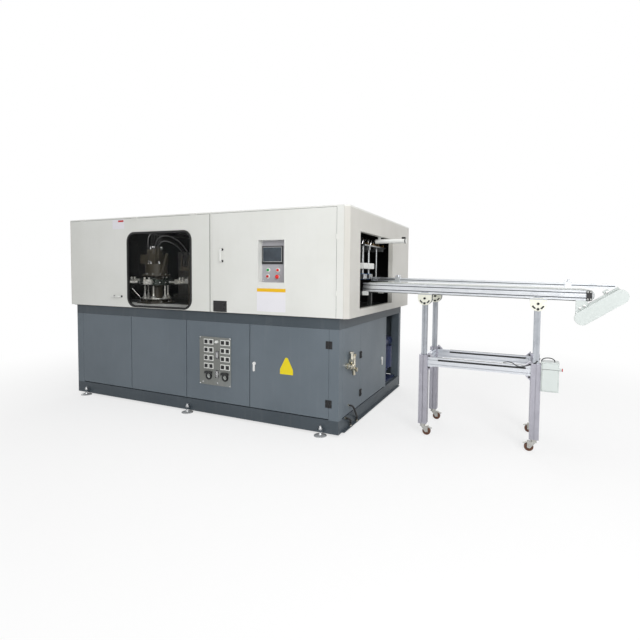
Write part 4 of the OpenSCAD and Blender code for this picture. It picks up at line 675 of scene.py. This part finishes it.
# Filter unit
# A welded air tank with its filter, painted gloss blue, on its feet in the open bay. Three plated unions
# are screwed into its head.
blue_paint = painted("filter paint", (26, 44, 92), (20, 34, 74), (70, 92, 138), Gloss=0.25, Dustiness=0.1)
dress(blue_paint, "filter_unit")
tank_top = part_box("filter_unit")[1].z - 0.001
plated = metal("plated steel", (225, 226, 226), (170, 168, 160), Grain=50.0, Gloss=0.18, Stains=0.25)
unions = [(Vector((*mm(-200, y, 0).xy, tank_top)), up_way) for y in (1620, 1730, 1840)]
set_out("tank_unions", nut, unions, plated, size=0.9)

# Casing shell
# Folded sheet over a tube frame, powder coated in a warm light grey outside. The inside is painted near
# black, as painted shade, so the machine room looks dark behind the window.
inside_shade = (4, 4, 5)
shell_paint = painted("casing paint", (224, 225, 221), (218, 219, 214), (242, 242, 240), Dustiness=0.05,
                      Gloss=0.38, Edge_amount=0.35)
# The end panels take a darker copy of the casing paint: painted shade on the end faces.
end_shade_paint = painted("end panel paint", (203, 201, 195), (197, 195, 188), (240, 239, 236), Dustiness=0.07,
                    Gloss=0.38, Edge_amount=0.35)
shell_low, shell_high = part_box("casing_panels")
sheet_skin, end_skin = 0.0015, 0.052
# Inside the sheets the paint turns near black: painted shade of the closed machine room.
inside_shade_low = Vector((shell_low.x + end_skin, shell_low.y + sheet_skin, 0))
inside_shade_high = Vector((shell_high.x - end_skin, shell_high.y - sheet_skin, shell_high.z - sheet_skin))
casing_paint_inside_shade = repainted(shell_paint, "lined casing paint", (inside_shade_low, inside_shade_high, inside_shade))
hood_reach, corner = Vector((0.0478, 0, 0)), Vector((0, bevel_run, 0))
end_panel_inside_shade = repainted(end_shade_paint, "lined end paint",
                      (inside_shade_low - hood_reach + corner, inside_shade_high - corner, inside_shade))
dress(casing_paint_inside_shade, "casing_panels", "hatch", "control_door")
dress(end_panel_inside_shade, "end_panels")
frame_black = painted("frame paint", (40, 42, 44), (34, 35, 37), (90, 92, 94), Dustiness=0.15)
seam_post = (mm(-1500, 0, 1086), mm(-1420, 70, 2090), (206, 207, 203))
dress(repainted(frame_black, "casing frame", seam_post), "casing_frame")
table_white = painted("table paint", (212, 214, 211), (196, 198, 195), (232, 233, 231), Dustiness=0.1)
# Behind its front strip the table is painted dark, as painted shade deeper in the machine room.
table_back_shade = (mm(-3490, 430, 1000), mm(10, 2090, 1400), (58, 60, 60))
dress(repainted(table_white, "machine table", table_back_shade), "machine_table")


def boxes(*rows):
    """Maker of bevelled boxes, each given by two corners in millimetres and a bevel in metres."""
    def draw(shape):
        for low, high, bevel in rows:
            box_into(shape, mm(*low), mm(*high), bevel)
    return draw


fitted("joint_strip", boxes(((-1471, 3, 1094), (-1447, 31.8, 2090), 0.002)), shell_paint)

seal_low, seal_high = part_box("base_top_rail")


def border(left, low, right, high, wide):
    """The four bars of a rectangular frame, the two long ones first."""
    return ((left, low, right, low + wide), (left, high - wide, right, high),
            (left, low + wide, left + wide, high - wide), (right - wide, low + wide, right, high - wide))


def rim_seal(shape):
    inset, wide, foot, thick = 0.002, 0.01, seal_high.z, 0.0048
    for left, front, right, back in border(seal_low.x + inset, seal_low.y + inset, seal_high.x - inset,
                                           seal_high.y - inset, wide):
        box_into(shape, (left, front, foot), (right, back, foot + thick), 0.001)


seal_black = moulded("seal rubber", (14, 14, 15), (50, 50, 50), Gloss=0.6)
fitted("casing_seal", rim_seal, seal_black)

# Turret column
# A fixed cast post with the air rotary head on top, oily and brown, bolted to the table.
oily_cast = cast("oiled column casting", (46, 42, 33), (112, 102, 78), Gloss=0.35)
dress(oily_cast, "turret_column")
turret_axis = Vector(next(j["pos_m"] for j in frame["joints"] if j["name"] == "turret_turn"))
bright_steel = metal("bright steel", (214, 215, 214), (140, 136, 126), Grain=70.0, Gloss=0.22, Stains=0.35)


def ring_points(radius, height, count, start=0.0, way=up_way):
    """Points on a circle round the turret's axis."""
    return [(Vector((turret_axis.x + radius * math.cos(start + math.tau * k / count),
                     turret_axis.y + radius * math.sin(start + math.tau * k / count), height)), way)
            for k in range(count)]


column_rings = ((0.15, 1.4622, 12), (0.117, 1.5912, 10, 0.2), (0.2, 1.1242, 12))
column_screws = [point for ring in column_rings for point in ring_points(*ring)]
set_out("column_screws", hex_screw, column_screws, bright_steel, size=1.8)
elbow = turned_head("air_elbow",
                    ([(0, 0), (0.011, 0), (0.011, 0.01), (0.008, 0.012), (0.008, 0.026), (0, 0.026)], 12),
                    ([(0, 0), (0.008, 0), (0.008, 0.02), (0.01, 0.021), (0.01, 0.03), (0.006, 0.032),
                      (0, 0.032)], 12, "X", (0, 0, 0.02)))
elbow_points = ring_points(0.105, 1.5908, 7, 0.4) + ring_points(0.07, 1.7638, 6, 0.1)
set_out("air_elbows", elbow, elbow_points, plated, size=1.3, seed=5)

# Turret
# A machined disc on the column with six sprung bottle grippers. The disc is dark and oily, the grippers are
# bright steel.
gripper_steel = metal("gripper steel", (230, 230, 224), (160, 146, 112), metallic=0.55, Grain=60.0,
                      Gloss=0.24, Stains=0.5)
disc_reach = 0.232
disc_foot = 1.325
oiled_green = rgb(52, 60, 54)
turret_finish, disc_nodes, disc_shader = plain("turret disc and grippers", gripper_steel)
disc_place = own_place(disc_nodes)
from_axis = place_calc("SUBTRACT", disc_place, tuple(turret_axis))[0]
from_axis = place_calc("MULTIPLY", from_axis, (1, 1, 0))[0]
radius = place_calc("LENGTH", from_axis)["Value"]
height = add(disc_nodes, "SeparateXYZ", Vector=disc_place).outputs["Z"]
on_disc = calc("MULTIPLY", calc("LESS_THAN", radius, disc_reach),
               calc("GREATER_THAN", height, disc_foot))
bare = disc_shader.inputs["Base Color"].links[0].from_socket
disc_nodes.links.new(mixed(on_disc, bare, oiled_green), disc_shader.inputs["Base Color"])
dress(turret_finish, "turret")
disc_screws = ring_points(0.205, 1.3608, 18, 0.1)
set_out("disc_screws", socket_screw, disc_screws, bright_steel, "turret", 1.9)

spring_tree, entry = growth("wind springs", ("Radius", "Float"), ("Wire", "Float"), ("Turns", "Float"),
                            ("Length", "Float"))
coil = add(spring_tree, "CurveSpiral", Resolution=14, Rotations=entry["Turns"],
           Start_Radius=entry["Radius"], End_Radius=entry["Radius"], Height=entry["Length"])
wire = add(spring_tree, "CurvePrimitiveCircle", Resolution=6, Radius=entry["Wire"])
coil_mesh = add(spring_tree, "CurveToMesh", Curve=coil.outputs[0], Profile_Curve=wire.outputs[0],
                Fill_Caps=True)
grown(spring_tree, entry, stood_up(spring_tree, entry, coil_mesh.outputs[0]))

arm_count = 6
spring_at, spring_side, spring_foot = 0.399, 0.024, 1.395
roller_at, roller_foot = 0.352, 1.39
arm_ways = [Vector((math.cos(math.tau * k / arm_count), math.sin(math.tau * k / arm_count), 0))
            for k in range(arm_count)]
spring_feet = [(turret_axis.xy.to_3d() + spring_at * way + side * spring_side * Vector((-way.y, way.x, 0))
                + Vector((0, 0, spring_foot)), up_way) for way in arm_ways for side in (-1, 1)]
springs = settle(places("gripper_springs", spring_feet), spring_tree, "turret", Radius=0.011, Wire=0.0018,
                 Turns=7.0, Length=0.034, Finish=gripper_steel)
roller = turned_head("cam_roller", ([(0, 0), (0.016, 0), (0.018, 0.002), (0.018, 0.012), (0.016, 0.014),
                                    (0.007, 0.014), (0.007, 0.02), (0, 0.02)], 16))
roller_points = [(turret_axis.xy.to_3d() + roller_at * way + Vector((0, 0, roller_foot)), up_way)
                 for way in arm_ways]
set_out("cam_rollers", roller, roller_points, bright_steel, "turret")

# Blow clamp and stretch unit
# Ground steel plates, guide bars and aluminium platens, with the take-out gantry reaching over the belt.
ground_steel = metal("ground steel", (168, 171, 172), (110, 108, 102), Grain=45.0, Gloss=0.35, Stains=0.4)
mould_metal = metal("mould aluminium", (205, 208, 210), (150, 150, 146), Grain=50.0, Gloss=0.28, Stains=0.3)
dress(ground_steel, "clamp_frame")
dress(mould_metal, "front_platen", "rear_platen", "bottom_mould", "stretch_carriage")
reflector = metal("oven reflector", (120, 120, 116), (84, 78, 68), metallic=0.6, relief=0.02, Grain=14.0,
                  Gloss=0.45, Stains=0.5)
dress(reflector, "oven")
drive_paint = painted("drive plate paint", (178, 179, 174), (160, 160, 154), (200, 200, 196),
                      Dustiness=0.3)
dress(drive_paint, "electrical_plate")

bronze = metal("bronze plate", (150, 122, 78), (84, 66, 40), Grain=30.0, Gloss=0.3, Stains=0.5)
white_nylon = moulded("white nylon", (232, 233, 230), (200, 200, 196), Gloss=0.4)
blue_cup = moulded("blue cup", (48, 104, 158), (80, 140, 190), Gloss=0.35)

cross_plate = boxes(((-166, 880, 1802.3), (-72, 1494, 1808), 0.002),
                    *(((-150, y - 14, 1807), (-90, y + 14, 1832), 0.003) for y in (905, 1090, 1275, 1460)))
gripper_rows = (790, 975)
gripper_blocks = boxes(*(((-163, y - 72, 1547), (-67, y + 72, 1608), 0.006) for y in gripper_rows))


def gripper_cups(shape):
    for y in gripper_rows:
        for side in (-27, 27):
            lathe(shape, [(0, 0), (0.02, 0), (0.026, 0.008), (0.026, 0.054), (0.021, 0.06), (0, 0.06)], 18,
                  "Z", mm(-115, y + side, 1436))


fitted("gantry_plate", cross_plate, bronze)
fitted("gripper_blocks", gripper_blocks, white_nylon)
fitted("gripper_cups", gripper_cups, blue_cup)

# Hoses and cables in the machine room
# Nylon air lines and cables run from the rotary head and along the gantry. They are fixed at both ends.
line_tree, entry = growth("draw line", ("Radius", "Float"), ("Steps", "Int"), ("Sides", "Int"))
route = add(line_tree, "MeshToCurve", Mesh=entry["Geometry"])
eased = add(line_tree, "CurveSplineType", {"spline_type": "CATMULL_ROM"}, Curve=route.outputs[0])
fine = add(line_tree, "ResampleCurve", Curve=eased.outputs[0], Count=entry["Steps"])
section = add(line_tree, "CurvePrimitiveCircle", Resolution=entry["Sides"], Radius=entry["Radius"])
tube = add(line_tree, "CurveToMesh", Curve=fine.outputs[0], Profile_Curve=section.outputs[0],
           Fill_Caps=True)
grown(line_tree, entry, add(line_tree, "SetShadeSmooth", Geometry=tube.outputs[0]).outputs[0])


def lines_along(name, routes, radius, material, steps=40, sides=10):
    """Tubes along routes of millimetre points, as one piece of the machine."""
    mesh = bpy.data.meshes.new(name)
    points = [mm(*p) for path in routes for p in path]
    starts = [sum(len(r) for r in routes[:k]) for k in range(len(routes))]
    edges = [(s + i, s + i + 1) for s, path in zip(starts, routes) for i in range(len(path) - 1)]
    mesh.from_pydata([tuple(p) for p in points], edges, [])
    line = settle(linked(name, mesh), line_tree, "machine", Radius=radius, Steps=steps, Sides=sides,
                  Finish=material)


turret_x, turret_y = -2740, 540
line_climb = ((100, 0, 1600), (118, 0, 1660), (105, 0, 1730), (66, 0, 1800), (60, 0.5, 1900),
              (60, 0.5, 2094))
head_lines = [[(turret_x + reach * math.cos(angle + turn), turret_y + reach * math.sin(angle + turn), z)
               for reach, turn, z in line_climb] for angle in (-2.2 + 0.55 * k for k in range(5))]
lines_along("air_lines", head_lines, 0.004, black_plastic)

gantry_arc = ((-120, 0, 1809), (-120, 0, 1850), (-135, 20, 1885), (-170, 60, 1870), (-200, 90, 1830),
              (-220, 110, 1795))
gantry_lines = [[(x, y + dy, z) for x, dy, z in gantry_arc] for y in (770, 850, 950, 1040, 1130)]
lines_along("gantry_lines", gantry_lines, 0.006, black_plastic)
sleeve_arc = ((-100, 0, 1809), (-95, 8, 1845), (-110, 30, 1872), (-150, 55, 1850), (-180, 80, 1795))
gantry_silver = [[(x, y + dy, z) for x, dy, z in sleeve_arc] for y in (740, 905, 1000)]
lines_along("gantry_sleeves", gantry_silver, 0.008, plated)

tie_rod = [[(-3115, 500, 1276), (-3012, 500, 1198), (-2908, 500, 1112)]]
lines_along("tie_rod", tie_rod, 0.008, bright_steel, 4)

# Hatch window
# A clear pane held in a black rubber profile, as in a vehicle window.
dress(seal_black, "window_seal")
pane, _, pane_shader = plain("clear pane")
pane_shader.inputs["Base Color"].default_value = (0.012, 0.014, 0.014, 1)
pane_shader.inputs["Roughness"].default_value = 0.03
pane_shader.inputs["Alpha"].default_value = 0.08
dress(pane, "hatch_window")

# Handles and struts
# Bow handles with white grips on black feet, screwed through the sheet, and a gas strut at each end of
# the hatch.
grips = (mm(-4000, -200, 1000), mm(0, -19, 2000), (226, 227, 224))
dress(repainted(black_plastic, "bow handles", grips), "hatch_handle", "door_handle")
dress(black_plastic, "strut_tubes")

# Hatch label
# A plain white card with a red band, at the top of the hatch.
label_white = moulded("label card", (228, 227, 232), (216, 215, 220), Gloss=0.35)
label_red = moulded("label red", (188, 32, 36), (160, 40, 40), Gloss=0.35)


def card(name, material, body, left, right, low, high, y=-0.05, thick=0.8):
    """Thin plate stuck on a door between these sides."""
    sheet = boxes(((left, y - thick, low), (right, y, high), thick * 0.3 / 1000))
    fitted(name, sheet, material, body)


card("hatch_label", label_white, "hatch", -2853, -2671, 1973, 2078)
card("hatch_label_band", label_red, "hatch", -2765, -2680, 2050, 2070, -0.85, 0.5)

# Control panel
# A folded recess in the door. Its grey painted plate carries the touch screen and four push buttons.
tray_paint = painted("control plate", (170, 169, 174), (160, 159, 165), (198, 198, 202), Gloss=0.4,
                     Dustiness=0.05)
tray_walls = (mm(-1000, -10, 1300), mm(-500, 74.5, 1900), (224, 225, 221))
dress(repainted(tray_paint, "control tray", tray_walls), "control_housing")
screen_body = moulded("screen frame", (26, 28, 30), (60, 62, 64), Gloss=0.3)
dress(screen_body, "touch_screen")
screen_low, screen_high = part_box("touch_screen")
screen_margin = 0.013
glass_dark, screen_nodes, screen_shader = plain("screen glass")
screen_glow = ramp(noise(own_place(screen_nodes), 9.0), 0.2, 0.9)
screen_tone = mixed(screen_glow, rgb(38, 46, 55), rgb(60, 72, 82))
screen_nodes.links.new(screen_tone, screen_shader.inputs["Base Color"])
screen_shader.inputs["Roughness"].default_value = 0.12

plate_face = screen_low.y - 0.0002
glass_low = Vector((screen_low.x + screen_margin, plate_face, screen_low.z + 0.026))
glass_high = Vector((screen_high.x - screen_margin, plate_face, screen_high.z - screen_margin))


def screen_glass(shape):
    box_into(shape, glass_low - Vector((0, 0.0008, 0)), glass_high, 0.0003)


def screen_trim(shape):
    """Thin polished frame just inside the screen's rim."""
    wide = 0.0028
    for left, low, right, high in border(glass_low.x - wide, glass_low.z - wide, glass_high.x + wide,
                                         glass_high.z + wide, wide):
        box_into(shape, (left, plate_face - 0.0012, low), (right, plate_face, high), 0.0004)


fitted("screen_glass", screen_glass, glass_dark, "control_door")
fitted("screen_trim", screen_trim, plated, "control_door")

caps = {"start_button": (20, 150, 70), "stop_button": (225, 30, 22), "reset_button": (190, 24, 22),
        "emergency_stop": (222, 36, 30)}
for button, colour in caps.items():
    dress(moulded(button + "_cap", colour, tuple(min(255, c + 30) for c in colour), Gloss=0.22, Scuffs=0.1),
          button)

button_places = [(-823, 1522), (-714, 1521), (-828, 1460)]


def guard_rings(shape):
    for x, z in button_places:
        lathe(shape, [(0.0142, 0), (0.0215, 0), (0.0215, -0.004), (0.019, -0.0056), (0.0142, -0.005),
                      (0.0142, 0)], 28, "Y", mm(x, 74.8, z))
    bmesh.ops.remove_doubles(shape, verts=shape.verts, dist=1e-6)
    bmesh.ops.recalc_face_normals(shape, faces=shape.faces)


fitted("button_rings", guard_rings, white_nylon, "control_door")

tray_screws = [(mm(x, 75, z), front_way) for x in (-886, -612) for z in (1412, 1796)]
set_out("control_plate_screws", dome_screw, tray_screws, plated, "control_door", 1.2)

notice_yellow = moulded("notice band", (232, 182, 20), (220, 170, 30), Gloss=0.35)
card("notice_card", label_white, "control_door", -905, -588, 1123, 1312)
card("notice_band", notice_yellow, "control_door", -905, -588, 1312, 1345)

lock_black = moulded("lock cover", (30, 30, 31), (72, 72, 72), Gloss=0.3)


def lock_cover(shape):
    box_into(shape, mm(-1426, -6.5, 1097), mm(-1259, -3.9, 1208), 0.002)
    box_into(shape, mm(-1412, -8.5, 1112), mm(-1330, -6.4, 1194), 0.002)
    lathe(shape, [(0, -0.01), (0.013, -0.01), (0.015, -0.006), (0.015, 0)], 20, "Y", mm(-1300, -6.4, 1168))
    lathe(shape, [(0, -0.007), (0.008, -0.007), (0.009, -0.004), (0.009, 0)], 16, "Y",
          mm(-1300, -6.4, 1128))


fitted("lock_cover", lock_cover, lock_black, "control_door")

# Light bar
# A white tube lamp that lights the outfeed, held below the opening's upper edge.
dress(white_nylon, "light_bar")


def lamp_sockets(shape):
    for x, way in ((284, 1), (-38, -1)):
        cap = [(0, 0), (0.0262, 0), (0.0262, 0.01 * way), (0, 0.01 * way)]
        lathe(shape, cap, 20, "X", mm(x, 1000, 1844))
    box_into(shape, mm(250, 992, 1868), mm(290, 1008, 1886), 0.002)


fitted("lamp_ends", lamp_sockets, black_plastic)

# Conveyor
# Clear anodised aluminium profile with a pale belt between the beams, on half-round tilt brackets.
along_x, along_z = (0.05, 1, 1), (1, 1, 0.05)
drawn = {"Grain": 160.0, "Gloss_spread": 0.1}
anodised = metal("anodised profile", (228, 231, 235), (202, 206, 212), along_x, Gloss=0.3, Stains=0.5,
                 **drawn)
anodised_leg = metal("anodised leg", (184, 188, 194), (150, 154, 162), along_z, Gloss=0.32, Stains=0.5,
                     **drawn)
anodised_sleeve = metal("anodised sleeve", (176, 175, 184), (150, 149, 158), along_z, Gloss=0.36,
                        Stains=0.4, **drawn)
lean = math.tan(math.radians(0.93))
beam_start, beam_underside = 15, 1327
beam_low = mm(beam_start, 460, beam_underside)
beam_foot = beam_low.z + lean * beam_low.x
# Each side of a profile has one slot between its two flanges. The inside of each slot is painted darker,
# as painted shade.
slot_shade, face_skin, flange = (96, 100, 106), 0.0012, 0.012
profile_wide, beam_tall, beam_apart, rail_rise = 0.04, 0.08, 0.5, 0.092
end_spare, whole_length = 0.2, 2.5
profiles = ((0, 0, beam_tall), (beam_apart, 0, beam_tall), (beam_apart, rail_rise, profile_wide))
beam_slot_shade = []
for back, rise, tall in profiles:
    low = Vector((beam_low.x - end_spare, beam_low.y + back, beam_foot + rise))
    high = low + Vector((whole_length, profile_wide, tall))
    for inset in (Vector((0, face_skin, flange)), Vector((0, flange, face_skin))):
        beam_slot_shade.append((low + inset, high - inset, slot_shade))
dress(repainted(anodised, "slotted beams", *beam_slot_shade, lean=lean), "conveyor_frame", "guide_rail")
rail_silver = (216, 219, 224)
sleeve_half, rail_half, rail_foot, rail_top = 36, 22, 646, 734
leg_columns, leg_rows = (620, 1560), (480, 980)
(near, far), (front, back) = leg_columns, leg_rows
rail_areas = []
for y in leg_rows:
    rail_areas.append((mm(near + sleeve_half, y - rail_half, rail_foot),
                       mm(far - sleeve_half, y + rail_half, rail_top), rail_silver))
for x in leg_columns:
    rail_areas.append((mm(x - rail_half, front + sleeve_half, rail_foot),
                       mm(x + rail_half, back - sleeve_half, rail_top), rail_silver))
dress(repainted(anodised_sleeve, "stand", *rail_areas), "stand_frame")
# The guard paint's edge colour is dark: the guard and the control box get painted shade along their edges.
guard_paint = painted("guard paint", (208, 214, 212), (202, 209, 206), (104, 110, 108), Gloss=0.3,
                      Dustiness=0.04, Edge_width=0.004, Edge_amount=1.0)
dress(guard_paint, "drive_guard", "control_box")
belt_pale = moulded("belt fabric", (196, 200, 196), (172, 176, 172), Gloss=0.5, Scuffs=0.4)
dress(belt_pale, "conveyor_belt")
dress(painted("motor paint", (92, 100, 108), (84, 92, 100), (140, 146, 150), Dustiness=0.2), "gear_motor")
dress(mould_metal, "drive_pulley", "tail_pulley")
fork_metal = metal("caster fork", (196, 196, 192), (150, 140, 122), Grain=80.0, Gloss=0.3, Stains=0.5)
tread = moulded("caster tread", (96, 62, 44), (60, 44, 34), Gloss=0.35, Scuffs=0.5)
dress(fork_metal, *(f"caster_fork_{k}" for k in range(1, 5)))
dress(tread, *(f"caster_wheel_{k}" for k in range(1, 5)))

pivot_drop = 43
leg_places = [(x, y, beam_underside - (x - beam_start) * lean) for x in leg_columns for y in leg_rows]
pivot_screws = [(mm(x, y + side * 37, under - drop), -side * front_way)
                for x, y, under in leg_places for drop in (pivot_drop, 88) for side in (-1, 1)]
set_out("tilt_screws", hex_screw, pivot_screws, black_plastic, size=1.9)

# The half-round tilt plates are painted cream. A black strip fills each curved slot, as painted shade
# inside it.
plate_cream, plate_half, plate_drop, plate_rise = (246, 246, 232), 66, 110, 4
plate_areas = [(mm(x - plate_half, y + low, under - plate_drop),
                mm(x + plate_half, y + high, under + plate_rise), plate_cream)
               for x, y, under in leg_places for low, high in ((-31.5, -22.7), (22.7, 31.5))]
dress(repainted(anodised_leg, "legs and tilt plates", *plate_areas), "leg_tubes")
arc_centre, arc_half, arc_steps, arc_span = 45, 6, 7, 36


# Black strips in the tilt plates' curved slots stand for the shade inside them.
def arc_slot_shade(shape):
    for x, y, under, face, start in [(*leg, face, start) for leg in leg_places for face in (-30.5, 30.5)
                                     for start in (205, 299)]:
        rings = []
        for k in range(arc_steps + 1):
            turn = math.radians(start + arc_span * k / arc_steps)
            rings.append([shape.verts.new(mm(x + r * math.cos(turn), y + face + deep,
                                             under - pivot_drop + r * math.sin(turn)))
                          for r, deep in ((arc_centre - arc_half, -0.5), (arc_centre + arc_half, -0.5),
                                          (arc_centre + arc_half, 0.5), (arc_centre - arc_half, 0.5))])
        for a, b in zip(rings, rings[1:]):
            for k in range(4):
                shape.faces.new([a[k], b[k], b[(k + 1) % 4], a[(k + 1) % 4]])
        shape.faces.new(rings[0])
        shape.faces.new(rings[-1][::-1])
    bmesh.ops.recalc_face_normals(shape, faces=shape.faces)


# Black strips are pressed into the slots of the low rails. Bright clips hold the cable and the guard.
rail_strips = []
for left, right, y in ((749, 1482, 480), (776, 1480, 980)):
    rail_strips.append(((left, y - 4, 727), (right, y + 4, 731.5), 0.001))
    rail_strips.append(((left, y - 21, 702), (right, y - 19, 718), 0.0006))
bearings = [((1905, y, 1296), (1944, y + 12, 1378), 0.003) for y in (447, 1005)]
clips = [((x, 469, 729), (x + 14, 491, 741), 0.002) for x in (960, 1290)]
clips += [((x - 9, 452, z - 9), (x + 9, 474, z + 9), 0.003)
          for x, z in ((1863, 1231), (1893, 1252), (2044, 1365), (1844, 1188))]
fitted("tilt_slots", arc_slot_shade, black_plastic)
fitted("rail_covers", boxes(*rail_strips), black_plastic)
fitted("bearing_blocks", boxes(*bearings), black_plastic)
fitted("rail_grips", boxes(*clips), bright_steel)

block_bolts = [(mm(x, 446.8, z), front_way) for x in (1914, 1935) for z in (1308, 1366)]
gusset_bolts = [(mm(x, y - 18.4, z), front_way) for x in (670, 1510) for y in leg_rows for z in (743, 637)]
set_out("block_bolts", socket_screw, block_bolts, bright_steel, size=1.4)
set_out("gusset_bolts", socket_screw, gusset_bolts, black_plastic, size=1.6)
box_cable = [[(1590, 470, 800), (1566, 458, 772), (1538, 455, 752), (1500, 455, 736), (1460, 455, 722),
              (1431, 455, 718), (1400, 455, 730), (1378, 457, 745), (1345, 466, 750), (1310, 474, 742),
              (1296, 478, 736)],
             [(1600, 470, 781), (1612, 470, 800), (1640, 470, 809), (1672, 470, 808), (1694, 470, 796),
              (1700, 470, 780)]]
lines_along("box_cable", box_cable, 0.004, hose_rubber, 60, 8)
lid_line = [[(x, 412.6, 722) for x in (1599, 1676, 1752)]]
lines_along("box_lid_line", lid_line, 0.0012, black_plastic, 6, 6)
knob_outline = [(0.0102, 0.006), (0.0102, 0), (0.0135, 0), (0.0135, 0.005), (0.0102, 0.006)]
fitted("box_knob_ring", lambda shape: lathe(shape, knob_outline, 20, "X", mm(1754, 480, 715)), label_red)
